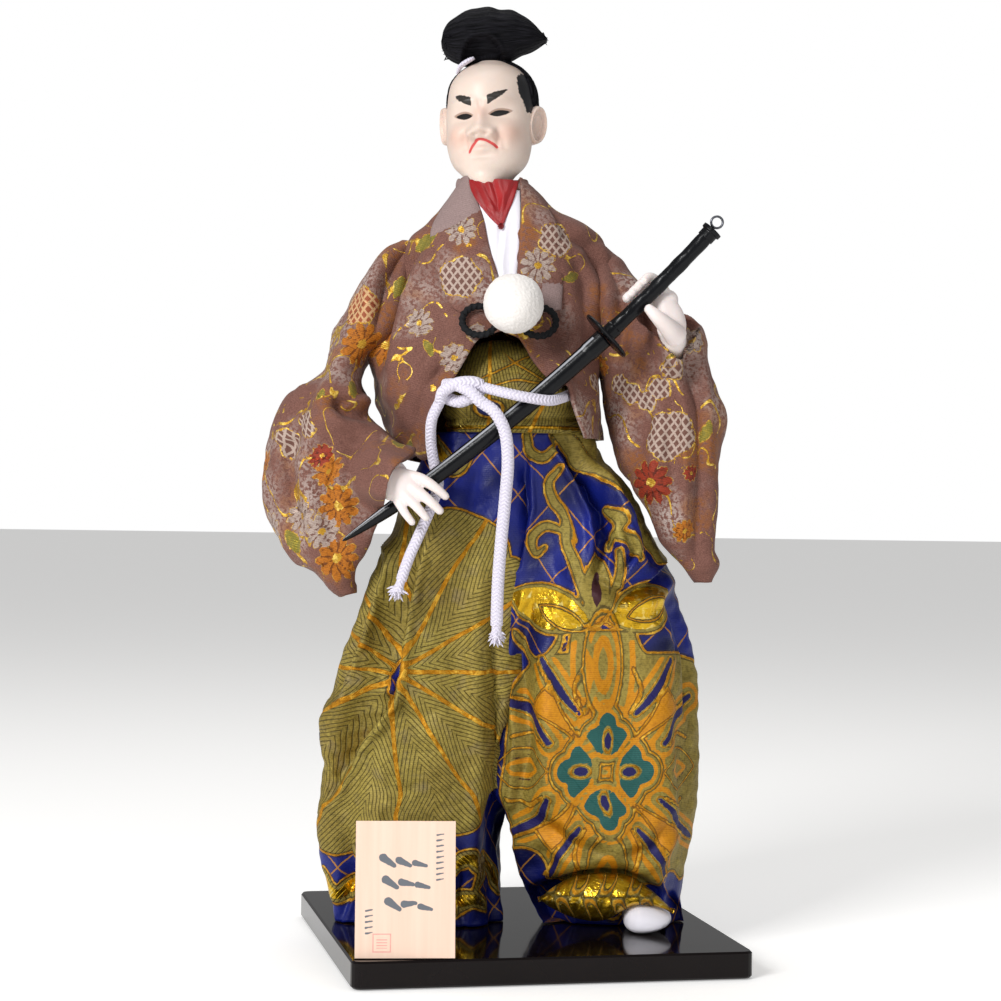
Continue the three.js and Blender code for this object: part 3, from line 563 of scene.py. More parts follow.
def legGrid(left, right, middle, folds, leftLeg):
    # rings swollen by 1 + swell cos(7 turn), then rippled by soft noise, ruffled at the hem and creased along the folds
    z = np.linspace(trouserSet["bottom"], trouserSet["top"], trouserSet["rows"])
    angle = turns(trouserSet["columns"])
    plain = ringStack(lambda h: (through(left, h), through(right, h), through(legFront, h), through(legBack, h),
                                 trouserSet["power"], 0), z, angle)
    u, v = girthUv(plain, through(middle, z))
    centre = plain.mean(1, keepdims=True)
    below = trouserSet["calmAt"] - z[:, None]
    swell = 1 + trouserSet["swell"] * np.minimum(1, below / 60) * np.cos(trouserSet["bulges"] * angle)
    grid = centre + (plain - centre) * np.stack([swell, swell, np.ones_like(swell)], -1)
    normal = outward(grid)
    soft = waves(grid * np.array([1, 1, 0.4]), 20, 11 + leftLeg) * trouserSet["wave"] * np.minimum(1, below / 12)
    soft = soft + waves(grid, 7, 4) * 0.2
    low = np.clip((26 - z) / 14, 0, 1)[:, None] * trouserSet["ruffle"] * (1.0 if leftLeg else 0.35)
    soft = soft + low * np.sin(u[:, :-1] / 1.9 + 1.4 * np.sin(u[:, :-1] / 5.3))
    grid = grid + normal * soft[..., None]
    if not leftLeg:  # the front hem blouses over the foot: below its edge the cloth turns in
        under = np.clip((through(frontHem, grid[..., 0]) + 3.2 - grid[..., 2]) / 4.6, 0, 1)
        grid[..., 1] += trouserSet["tuck"] * under ** 2 * np.clip(-1.6 * normal[..., 1] - 0.2, 0, 1)
    grid = creased(grid, [(line, depth * trouserSet["depth"], *rest) for line, depth, *rest in folds])
    grid[..., 2] = np.maximum(grid[..., 2], trouserSet["bottom"])
    return grid, u, v


legs = []
for edges, folds, pattern, leftLeg in (((leftHem, innerLeft, leftMiddle), leftFolds, leftLegPattern, True),
                                       ((innerRight, rightHem, rightMiddle), rightFolds, rightLegPattern, False)):
    grid, u, v = legGrid(*edges, folds, leftLeg)
    legs.append(surface("leg", grid, uv=(u - trouserSet["otherMap"] * leftLeg, v),
                        fields=pattern(u[:, :-1], v[:, :-1])))
trousers = joined("brocade_trousers", legs)
print("trousers made")

# Figured brocade: glossy blue satin ground, ribbed olive figures edged with orange thread, and crinkled gilt lamé, with
# painted sheen, highlights, glints and crinkle shade in their colours
trouserCloth, tree, shader, parts = newMaterial("figuredSatinBrocade", {
    "speckle": (1000, 4), "cloud": (42, 2), "crinkle": (150, 2, 1.4), "glint": (420, 2, 0.8), "slub": (150, 3)}, "uv")
for key in brocadeKeys:  # each figure's edge wanders by a thread
    parts[key] = fieldOf(tree, key)
    parts[key + "Gap"] = drawn(tree, key + " + (speckle - 0.5) * 0.5", parts)
    parts[key] = drawn(tree, "step((0 - " + key + "Gap) * 1.4)", parts)
parts.update(leafU=leafAt[0] - trouserSet["otherMap"], leafV=leafAt[1], halfMap=-trouserSet["otherMap"] / 2)
written(
    tree, parts,
    left="over(halfMap, u)",  # 1 on the left leg, whose veins go by distance and angle from the leaf's middle
    reach="sqrt((u - leafU) ** 2 + (v - leafV) ** 2)",
    turn="atan2(v - leafV, u - leafU)",
    vein="step((0.5 + speckle * 0.3 - reach * abs(sin(turn * 6)) / 6) * 1.6) * left * step(reach - 2)",
    chevron="reach * sin(fold(turn * 3.8197, 1) * 0.2618 + 0.25) / 1.15",
    ribs="wrap(left * chevron + (1 - left) * (v + u * 0.3) / 1.1 + speckle * 0.12)",
    groove="step(0.1 - abs(ribs - 0.5)) * (0.12 + 0.88 * left)",
    rising="step((0.2 - fold(u * 0.7 + v * 0.62 + speckle * 0.4, 8)) * 2)",
    falling="step((0.2 - fold(u * 0.7 - v * 0.62 + speckle * 0.4, 8)) * 2)",
    lattice="min(rising + falling, 1)",
    border="max(step((0.3 - abs(oliveGap)) * 1.4), step((0.24 - abs(rimGap)) * 1.4))",
    edge="max(border, max(step(0.2 - abs(ringedGap)), vein * olive))",
    dark="max(step(0.16 - abs(abs(oliveGap) - 0.56)), step(0.14 - abs(abs(rimGap) - 0.44))) * 0.7",
    weft="0.5 + 0.5 * sin(v * 10.5 + speckle * 3)",  # threads of 0.3 mm, drawn at 0.6 to show
    # the satin's lighter blue patches, laid by low-frequency noise, are painted sheen
    satin=("#070B36", ("min(max(cloud * 3.4 - 1.3 + slub * 0.3, 0), 1)", "#121F78")),
    # on the olive: the lighter patches are painted highlights, the grey-violet on the left leg is painted sheen, and
    # the pale flecks are painted glints
    ribbed=("#857230", ("min(max(cloud * 2 - 0.7, 0), 1) * 0.6", "#B5A552"),
            ("min(max((0.5 - speckle) * 2.2 + weft * 0.28, 0), 1)", "#4E4517"),
            ("min(max(slub * 4 - 2.2, 0), 1) * 0.3 * left", "#6E6672"),
            ("min(max(glint * 4 - 2.3, 0), 1) * 0.35", "#D0BC58"), ("groove * 0.78", "#2A2209")),
    # the lamé's crinkles are painted as dark shade and bright highlights, with painted glints on top
    lame=("#CFA326", ("min(max(1.5 - crinkle * 3.2, 0), 1) * 0.8", "#5A4A12"),
          ("min(max(crinkle * 4 - 2.1, 0), 1) * 0.8", "#EBCB40"), ("min(max(glint * 5 - 2.9, 0), 1) * 0.8", "#FAEF9E")),
    # the gold thread's pale flecks are painted glints and its dark flecks are painted shade
    gold=("#B8801A", ("min(max(glint * 5 - 2.5, 0), 1) * 0.8", "#E6BC48"),
          ("min(max(2.3 - glint * 5, 0), 1) * 0.6", "#6E4712")),
    amber=("#C58410", ("weft * 0.3 + (0.5 - speckle) * 1.2", "#8A4E0A")),
    green=("#265C56", ("weft * 0.6", "#163F3E")),
    colour=("satin", ("lattice * 0.9", "#A9742A"), ("olive", "ribbed"), ("maroon", "#3A1A20"), ("orange", "amber"),
            ("navy", "#1E1A52"), ("teal", "green"), ("gilt", "lame"), ("dark", "#2B1C0A"), ("edge", "gold")),
    foil="(crinkle + glint * 0.5) * gilt * 2")
feed(tree, shader, parts, "0.36 + olive * 0.16 + edge * 0.1 - gilt * 0.28 + cloud * 0.1",
     "olive * 0.5 + edge * 0.7 - groove * olive * 0.5 + speckle * 0.5 + weft * 0.06 + foil + slub * 0.5", 0.00026,
     "min(gilt * 0.75 + edge * 0.45 + olive * 0.2 + lattice * 0.3, 1)")
shader.inputs["Specular IOR Level"].default_value = 0.3
dressed(trousers, trouserCloth, "trouser_brocade", "hakama_trousers")

# The gilt hem that shows under the front of the right-hand leg, folded over the foot
flapSet = {"upper": [[7.4, 17.6], [14, 22.6], [21, 25.5], [34, 25.6], [42, 21], [49.4, 14.4]], "swell": 6.2,
           "depth": -17.2,
           "lower": [[7.4, 17.6], [12.4, 14.4], [20, 11.6], [28, 11.4], [38, 16.2], [49.4, 14.4]], "columns": 110,
           "rows": 46}
t, s = np.linspace(0, 1, flapSet["columns"]), np.linspace(0, 1, flapSet["rows"])[:, None]
lower, upper = (smoothLine(flapSet[key], flapSet["columns"]) for key in ("lower", "upper"))
edges = lower * (1 - s[..., None]) + upper * s[..., None]
crown = np.sin(math.pi * s) ** 0.6 * np.sin(math.pi * np.clip(t, 0.02, 0.98)) ** 0.55
pleats = 0.45 * np.sin(t * 40 + 1.5 * np.sin(s * 4)) + 0.15 * np.sin(t * 83 - s * 5)
flapGrid = np.stack([edges[..., 0], flapSet["depth"] - (flapSet["swell"] + pleats) * crown, edges[..., 1]], -1)
u, v = edges[..., 0] * 1.4, edges[..., 1] * 1.4
curls = 2.6 * np.sin(u * 0.52 + 0.9 * np.sin(v * 0.3) - 0.4) * np.cos(v * 0.12 - 1.7) + 0.5
fields = brocadeFields(u.shape, olive=np.full(u.shape, -farOff), rim=curls, gilt=0.5 - np.abs(curls))
flap = thickened(surface("gilt_hem", flapGrid, around=False, uv=(u, v), fields=fields), 0.0009)
dressed(flap, trouserCloth, "trouser_brocade")
print("hem made")


# Jacket: an open shell round the body, then bands of cloth lying on its chest
jacketSet = {"rows": 136, "columns": 250, "bottom": 151, "top": 241, "power": 0.82, "thickness": 0.0011, "hemLift": 8.5,
             "hemEnd": 0.44, "wave": 0.9, "gather": 0.9, "tuck": -3.2, "flare": 7.5, "flareAt": 16}
jacketLeft = [[150, -32], [157, -39.6], [165, -43], [180, -47.2], [200, -44], [215, -39], [222, -36], [228, -29.5],
              [235, -23.8],
              [241, -20.2]]
jacketRight = [[150, 25], [165, 25.5], [180, 24], [191, 25], [205, 27.5], [215, 27], [222, 24.5], [226, 20.5],
               [231, 10.8],
               [237, 4.4], [241, -0.6]]
jacketFront = [[150, -26.5], [170, -29.5], [185, -29], [200, -24.5], [220, -21], [232, -17], [241, -13.5]]
jacketBack = [[150, 24], [180, 24], [205, 21], [222, 18], [232, 14.5], [241, 12]]
openLeft = [[150, -29], [160, -26.8], [172.6, -25.2], [177.2, -20.7], [189.5, -13], [192, -6.7], [226, -7], [231, -11],
            [236, -16], [241, -17.4]]
openRight = [[150, 20], [158, 19.2], [164.2, 17.4], [170.2, 15.6], [174, 14], [177.6, 7.2], [189.7, -1], [192, -6.5],
             [226, -6.2],
             [231, -3], [236, 0.4], [241, 1.2]]


def chestOval(z):  # the level oval's middle and half width, middle and half depth at this height
    left, right, front, back = (through(line, z) for line in (jacketLeft, jacketRight, jacketFront, jacketBack))
    return (left + right) / 2, (right - left) / 2, (front + back) / 2, (back - front) / 2


def chestDepth(x, z):  # the jacket's front surface: the level oval's y at this x
    middleX, halfX, middleY, halfY = chestOval(z)
    share = np.clip(np.abs((x - middleX) / halfX), 0, 1)
    return middleY - halfY * (1 - share ** (2 / jacketSet["power"])) ** (jacketSet["power"] / 2)


share = np.linspace(0, 1, jacketSet["rows"])[:, None]
across = np.linspace(0, 1, jacketSet["columns"])[None, :]
z = jacketSet["bottom"] + (jacketSet["top"] - jacketSet["bottom"]) * share
z = z + jacketSet["hemLift"] * np.clip((jacketSet["hemEnd"] - across) / 0.1, 0, 1) ** 0.7 * (1 - share) ** 1.5
middleX, halfX, middleY, halfY = chestOval(z)


def edgeAngle(edge):  # the ring's angle from +x at which the front edge stands
    place = np.clip((through(edge, z) - middleX) / halfX, -1, 1)
    return np.arccos(np.sign(place) * np.abs(place) ** (1 / jacketSet["power"]))


start, end = -edgeAngle(openRight), 2 * math.pi - edgeAngle(openLeft)
angle = start + (end - start) * across
c, s = (np.sign(side) * np.abs(side) ** jacketSet["power"] for side in (np.cos(angle), np.sin(angle)))
jacketGrid = np.stack([middleX + halfX * c, middleY + halfY * s, z], -1)
girth = np.cumsum(np.linalg.norm(np.diff(jacketGrid, axis=1, prepend=jacketGrid[:, :1]), axis=2), 1)
backAt = np.argmax(jacketGrid[jacketSet["rows"] // 2, :, 1])
jacketU = np.where(np.arange(jacketSet["columns"]) < backAt, through(openRight, z) + girth,
                   through(openLeft, z) - (girth[:, -1:] - girth))
jacketFolds = [([[-30, 222], [-36.7, 214], [-41, 204], [-44, 190], [-46, 176]], 4.4, 2.4, 1),
               ([[-20, 196], [-27, 190], [-33, 180], [-36, 166]], 1.5, 2.6, 1),
               ([[-22, 182], [-30, 174], [-33, 160]], 1.7, 2.4, 1),
               ([[-16, 190], [-24, 184], [-28, 172]], 1.0, 2.0, 1), ([[9, 225.3], [20, 219], [25.5, 209], [26.5, 198]],
                                                                     2.6, 1.9, 1),
               ([[14, 219], [19, 208], [20, 192]], 1.6, 2.0, 1), ([[6, 206], [10, 192], [18, 178]], 1.5, 2.2, 1),
               ([[20, 190], [16, 180], [20, 166]], 1.4, 2.0, 1), ([[-11, 215], [-14, 195], [-26, 172]], 2.0, 3.0, -1),
               ([[4, 214], [6, 192], [10, 165]], 2.0, 3.0, -1), ([[-30, 205], [-28, 185], [-34, 165]], 1.6, 2.6, -1)]
soft = (waves(jacketGrid * np.array([1, 1, 0.5]), 19, 21) * jacketSet["wave"] + waves(jacketGrid, 8, 22) * 0.18
        + np.clip((166 - z) / 14, 0, 1) * jacketSet["gather"] * np.sin(jacketU / 2.6 + 1.2 * np.sin(jacketU / 7)))
jacketGrid = jacketGrid + outward(jacketGrid, False) * (soft * np.clip((236 - z) / 14, 0, 1))[..., None]
jacketGrid = creased(jacketGrid, jacketFolds, False)
jacketGrid += outward(jacketGrid, False) * (jacketSet["tuck"] * np.clip((154.5 - z) / 4, 0, 1) ** 2)[..., None]
x, y = jacketGrid[..., 0], jacketGrid[..., 1]  # the front panel beside the sash hangs forward
jacketGrid[..., 1] -= jacketSet["flare"] * np.exp(-((x - jacketSet["flareAt"]) / 6) ** 2) * np.clip((184 - z) / 8, 0,
                                                                                                    1) * (y < 0)


# Jacket pattern: tortoiseshell patches, chrysanthemums in white, orange and red, and leaves, as distances in
# millimetres. Patches and flowers: x, z, radius and tone; leaves: x, z, length, width and turn
patchPlaces = [(-19.2, 207.5, 6.4, 0.0), (44.7, 160.3, 7.8, 0.1), (9.7, 220.7, 5.4, 0.2), (-50.8, 199.5, 6.4, 0.7),
               (-64.6, 163, 4.4, 0.1), (28.4, 177, 3.2, 0.2),
               (32.6, 173.6, 3.4, 0.2), (37.6, 171, 3.2, 0.2), (42.4, 175, 3.4, 0.2), (45.4, 181, 3.2, 0.2),
               (-75.4, 156.3, 4.6, 0.2)]
flowerPlaces = [(-20.8, 183, 4.6, 0.1), (4.2, 212, 5.4, 0.25), (-32.2, 194, 4.4, 0.1), (-49.6, 187.6, 6.6, 0.7),
                (40.5, 146.6, 6.6, 0.95),
                (-19.4, 222.8, 4.8, 0.3), (-63.1, 152.9, 3.8, 0.95), (-58.4, 148, 4.6, 0.7), (-54.6, 137.7, 6.4, 0.65),
                (-67.4, 134.3, 5.4, 0.2),
                (-59.7, 129.9, 5.2, 0.2), (-54.0, 121.5, 6.4, 0.6), (50.8, 131.8, 3.4, 0.7), (53, 149.3, 2.6, 0.95),
                (-14, 190.6, 3.2, 0.2), (51, 190, 4.4, 0.4), (20, 183, 3.6, 0.6)]
leafPlaces = [(-31.6, 219.5, 5.4, 2.4, 0.5), (-38, 206, 3.8, 1.6, 1.2), (-29, 186, 3.4, 1.5, 2.2),
              (15, 209, 3.6, 1.5, 0.3),
              (46, 184, 3.8, 1.7, 0.8), (-50.4, 173.2, 2.8, 2.0, 1.9), (-38.6, 156.7, 2.2, 1.3, 0.1),
              (-59.3, 170.7, 2.0, 1.2, 1.3),
              (-69.9, 126.5, 4.6, 2.0, 2.2), (56, 162, 3.8, 1.6, 1.3), (46, 121, 4.0, 1.7, 1.4)]
rng = np.random.default_rng(12)
for around in np.arange(-190, 200, 15.0):
    for height in np.arange(116, 238, 15.0):
        place = np.array([around, height]) + rng.uniform(-4, 4, 2)
        crowd = min(np.hypot(*(place - np.array(p[:2]))) for p in patchPlaces + flowerPlaces)
        size, tone = rng.uniform(3.6, 6.2), rng.uniform(0, 1)
        if crowd > 13 and abs(around) > 82:
            (patchPlaces if rng.uniform() < 0.25 else flowerPlaces).append((*place, size, tone))
        elif crowd > 10 and abs(around) > 82:
            leafPlaces.append((*place, 4.2, 1.7, rng.uniform(0, 3)))


def jacketPattern(u, v):  # nearest distances outside each kind of motif, the tone of the nearest, and its petals' rays
    patch, flower, leaf, heart = (np.full(u.shape, farOff) for _ in range(4))
    tone, ray = np.zeros(u.shape), np.zeros(u.shape)
    for x, z, radius, warmth in patchPlaces:
        d, a = np.hypot(u - x, v - z), np.arctan2(v - z, u - x)
        gap = d - radius * (0.86 + 0.16 * np.abs(np.cos(2.5 * a + x)) + 0.08 * np.sin(a + x))
        tone = np.where(gap < np.minimum(patch, flower), warmth, tone)
        patch = np.minimum(patch, gap)
    for x, z, radius, warmth in flowerPlaces:
        d, a = np.hypot(u - x, v - z), np.arctan2(v - z, u - x)
        gap = d - radius * (0.62 + 0.42 * np.abs(np.cos(5 * a + x)) ** 0.7)
        ray = np.where(gap < flower, np.abs(np.cos(5 * a + x)), ray)
        tone = np.where(gap < np.minimum(patch, flower), warmth, tone)
        flower = np.minimum(flower, gap)
        heart = np.minimum(heart, d - 0.22 * radius)
    for place in leafPlaces:
        leaf = np.minimum(leaf, leafGap(u, v, *place))
    return {"patch": patch, "flower": flower, "leaf": leaf, "tone": tone, "heart": heart, "ray": ray, "plain": 0 * tone}


jacket = surface("brocade_jacket", jacketGrid, around=False, uv=(jacketU, jacketGrid[..., 2]),
                 fields=jacketPattern(jacketU, jacketGrid[..., 2]))
jacket = thickened(jacket, jacketSet["thickness"])
print("jacket made")


# Bands on the chest: a strip between two edge lines, lying over the jacket's surface with rounded edges
drapeSet = {"rows": 90, "columns": 40, "thickness": 0.001, "highest": 240.5}


def drape(name, inner, outer, lift, bulge, folds, figured=False, reverse=None):
    # rows of points from edge to edge, at the chest's depth less lift and less bulge * (1 - |2 t - 1|^6)
    rows, t = drapeSet["rows"], np.linspace(0, 1, drapeSet["columns"])[None, :, None]
    flat = smoothLine(inner, rows)[:, None] * (1 - t) + smoothLine(outer, rows)[:, None] * t
    x, z = flat[..., 0], flat[..., 1]
    y = chestDepth(x, np.minimum(z, drapeSet["highest"])) - lift - bulge * (1 - np.abs(2 * t[..., 0] - 1) ** 6)
    grid = np.stack([x, y, z], -1)
    if grid[rows // 2, -1, 0] < grid[rows // 2, 0, 0]:
        grid = grid[:, ::-1]
    if grid[-1, 0, 2] < grid[0, 0, 2]:
        grid = grid[::-1]
    x, z = grid[..., 0], grid[..., 2]
    fields = jacketPattern(x, z) if figured else {}
    if reverse:  # where the plain wrong side of the cloth shows
        fields["plain"] = (reverse(x, z) > 0) * 1.0
    return thickened(surface(name, creased(grid, folds, False), around=False, uv=(x, z), fields=fields),
                     drapeSet["thickness"])


rightLapel = drape("right_front_lapel", [[-17.4, 240.6], [-16.6, 236.6], [-12.9, 227.5], [-10.7, 217.6], [-7.6, 206.8],
                                         [-8.8, 198.4]],
                   [[-19.4, 240.6], [-24, 234], [-28.9, 223.4], [-27.5, 212], [-23, 200.4], [-19.6, 197]], 1.3, 1.0,
                   [([[-28, 222], [-17.6, 227]], 0.6, 0.9, 1, -1)], True, lambda x, z: z - 221.6 - (x + 27.6) * 0.53)
leftLapel = drape("left_front_lapel", [[-1.8, 240.6], [-1.2, 229.7], [-1.7, 216], [-1.9, 206.7], [2.4, 197]],
                  [[-0.8, 240.6], [3.4, 237], [8, 229.5], [11, 221.6], [12, 210], [11.6, 198.6]], 1.3, 1.0,
                  [([[3.4, 207.6], [13, 206]], 0.5, 0.9, 1, 1)], True, lambda x, z: np.minimum(206.6 - z, x - 5.6))
bandSet = {"rows": 90, "sides": 16, "radius": 2.3, "flat": (0.42, 1), "width": 12, "length": 60, "mapAt": (-60, 170),
           "plainRows": 30}
neckLine = [[-18.8, -9.5, 237.6], [-20.8, -2, 238.9], [-19, 8, 240.2], [-10.5, 13.6, 240.8], [-2, 8.4, 240.2],
            [0.4, -2, 238.9], [-1.6, -9.5, 238.2]]
neckBand = rod(smoothLine(neckLine, bandSet["rows"]), bandSet["radius"], bandSet["sides"], bandSet["flat"],
               reference=(0, 0, 1))
u, v = ringUv(bandSet["rows"], bandSet["sides"], bandSet["width"], bandSet["length"])
u, v = u + bandSet["mapAt"][0], v + bandSet["mapAt"][1]
fields = jacketPattern(u[:, :-1], v[:, :-1])
fields["plain"] = np.repeat((np.arange(bandSet["rows"]) < bandSet["plainRows"])[:, None], bandSet["sides"], 1) * 1.0
leftLapel = joined("left_front_lapel", [leftLapel, surface("neck_band", neckBand, uv=(u, v), fields=fields)])
print("lapels made")


# Sleeves: stacks of level ovals that lean, with a hollow mouth round each wrist
sleeveSet = {"rows": 160, "columns": 200, "power": 0.85, "wave": 0.9, "top": 221.5}
rightSleeve = {
    "outer": [[111, -55], [113, -60], [116.5, -64], [119.5, -69], [130, -76.4], [147, -79.8], [157, -79.6],
              [165, -76.2],
              [173.7, -70], [180, -62.6], [192, -60.2], [200, -56.3], [208, -51.6], [216, -45.5], [222, -38]],
    "inner": [[111, -51], [118.4, -50.2], [126, -45.1], [139, -40.6], [147, -38.6], [155, -32.2], [158.5, -37.6],
              [165, -46.4],
              [172, -47.6], [177, -50], [185, -46.5], [192, -40], [222, -32]],
    "middle": [[111, -16], [147, -17], [170, -9], [190, 0], [222, 1]],
    "half": [[111, 3], [116, 6.5], [130, 9], [150, 12], [175, 16], [200, 15], [215, 11], [222, 6]],
    "lean": [[111, -0.2], [150, -0.42], [170, -0.3], [190, 0], [222, 0]], "bottom": 111,
    "folds": [([[-36, 220], [-42, 208], [-45, 192]], 3.4, 2.0, 1), ([[-52, 214], [-56, 200], [-58, 186]], 1.2, 2.4, 1),
              ([[-57.3, 171], [-53, 166.5], [-46, 165.4]], 4.6, 2.0, 1),
              ([[-61, 180], [-68, 167], [-72.3, 150], [-67, 129]], 2.6, 2.4, 1),
              ([[-74, 168], [-78, 152], [-75, 134]], 1.2, 2.0, 1),
              ([[-46, 176], [-52, 170], [-60, 168]], 1.6, 2.0, 1), ([[-58, 158], [-61, 144], [-56, 122]], 1.6, 2.6, 1),
              ([[-45, 160], [-52, 156], [-58, 160]], 1.2, 2.0, 1), ([[-66, 160], [-60, 130], [-55, 114]], 2.2, 3.2, -1),
              ([[-52, 205], [-62, 175], [-70, 140]], 2.2, 3.2, -1), ([[-45, 205], [-52, 180], [-55, 150]], 1.6, 2.8,
                                                                     -1)]}
leftSleeve = {
    "outer": [[116, 59.5], [121.5, 61.2], [126, 59.6], [144, 59.9], [153, 60.3], [166, 62.7], [176.7, 60], [184, 58.2],
              [190, 57.8],
              [194.5, 55.5], [198, 51.5], [203, 42], [211, 34.5], [217, 30], [222, 24]],
    "inner": [[116, 55], [118.3, 52], [126, 45], [137, 39.4], [146, 33.6], [151, 30.8], [159, 29.4], [171, 26.4],
              [180, 24.6],
              [192, 20], [222, 18]],
    "middle": [[116, -10], [150, -9], [180, -6], [198, -3], [222, 1]],
    "half": [[116, 3], [122, 7], [140, 12], [165, 15], [190, 16], [205, 14], [222, 6]],
    "lean": [[116, -0.1], [150, -0.2], [190, -0.3], [205, -0.1], [222, 0]], "bottom": 116,
    "folds": [([[26, 216], [30, 206], [31, 194], [28, 180]], 2.6, 1.9, 1),
              ([[31, 212], [35, 203], [36, 192]], 2.0, 1.8, 1),
              ([[49.4, 190], [53.9, 170], [54.7, 149.5], [54.6, 124]], 3.4, 2.0, 1),
              ([[41, 176], [38, 162], [34, 150]], 1.6, 2.4, 1),
              ([[46, 178], [45, 160], [47, 140]], 1.2, 2.6, 1), ([[58, 186], [59, 165], [58, 140]], 1.2, 1.8, 1),
              ([[50, 205], [52, 170], [50, 130]], 2.2, 3.2, -1), ([[38, 205], [40, 170], [42, 135]], 2.0, 3.0, -1)]}
wristPath = [[-34, -40.8, 144.4], [-36, -40.4, 145], [-43, -33, 147.5], [-52, -22, 151.5]]
mouthEdge = [[34, 199], [37.8, 194.7], [42.7, 188.2], [46.4, 183.6], [48.4, 184.4], [50.4, 188.6], [53, 193], [58, 198]]


def sleeveGrid(form, lowered):
    z = np.linspace(form["bottom"], sleeveSet["top"], sleeveSet["rows"])
    angle = turns(sleeveSet["columns"])

    def section(h):
        ends = np.stack([through(form["outer"], h), through(form["inner"], h)])
        middle, half = through(form["middle"], h), through(form["half"], h)
        return ends.min(0), ends.max(0), middle - half, middle + half, sleeveSet["power"], through(form["lean"], h)
    grid = ringStack(section, z, angle)
    middle = (through(form["outer"], z) + through(form["inner"], z)) / 2
    u, v = girthUv(grid, np.convolve(np.pad(middle, 20, "edge"), np.ones(41) / 41, "valid"))
    normal = outward(grid)
    soft = waves(grid * np.array([1, 1, 0.5]), 17, 31 + lowered) * sleeveSet["wave"] + waves(grid, 7, 32) * 0.14
    grid = grid + normal * (soft * np.minimum(1, (sleeveSet["top"] - z) / 20)[:, None])[..., None]
    x, y, z = grid[..., 0], grid[..., 1], grid[..., 2]
    front = np.clip(-2.2 * normal[..., 1] + 0.1, 0, 1)
    if lowered:  # the mouth at the inner edge: the front layer covers the wrist, and behind it the edge is a groove
        wrist = smoothLine(wristPath, 40)
        d, along = nearLine(x, z, wrist[:, [0, 2]])
        d = np.abs(d)
        depth = np.interp(along, np.linspace(0, 1, 40), wrist[:, 1])
        cover = depth - np.sqrt(np.maximum(34 - np.maximum(d - 1.5, 0) ** 2 * 0.55, 0))
        pull = smoothStep(11 - d, 0, 6) * front
        y = np.where(front > 0, y + np.minimum(cover - y, 0) * pull, y)
        lap = smoothStep(x, -52, -37) * smoothStep(z, 112, 124) * (1 - smoothStep(z, 152, 158)) * front
        y = y - 4.5 * lap * (1 - pull)
        facing = np.clip((np.cos(angle) - 0.8) / 0.2, 0, 1)[None, :]
        mouth = smoothStep(z, 113, 121) * (1 - smoothStep(z, 146, 152))
        x = x - 9 * np.sin(facing * math.pi / 2) ** 2 * mouth * np.clip(np.sin(angle) * 4 + 1, 0, 1)[None, :]
    else:  # the mouth round the raised wrist: above this edge the front layer stands back
        edge = through(mouthEdge, x)
        open = smoothStep(z - edge, -0.6, 0.9) * smoothStep(x, 35.5, 37) * (1 - smoothStep(z, 201, 205)) * front
        y = y + 13 * open
        cover = -30.2 + 1.15 * np.maximum(edge - z, 0)  # below the edge the cloth hides the wrist
        near = smoothStep(x, 37, 41) * (1 - smoothStep(x, 51.5, 55)) * smoothStep(edge - z, -0.4, 0.6) * front
        y = y + np.minimum(cover - y, 0) * near
        facing = np.clip((-np.cos(angle) - 0.86) / 0.14, 0, 1)[None, :]
        x = x + 5 * facing * smoothStep(z, 118, 128) * (1 - smoothStep(z, 140, 150))
    return creased(np.stack([x, y, z], -1), form["folds"]), u, v


sleeves = []
for name, form, lowered in (("right_brocade_sleeve", rightSleeve, True), ("left_brocade_sleeve", leftSleeve, False)):
    grid, u, v = sleeveGrid(form, lowered)
    sleeves.append(surface(name, grid, uv=(u, v), fields=jacketPattern(u[:, :-1], v[:, :-1])))
print("sleeves made")

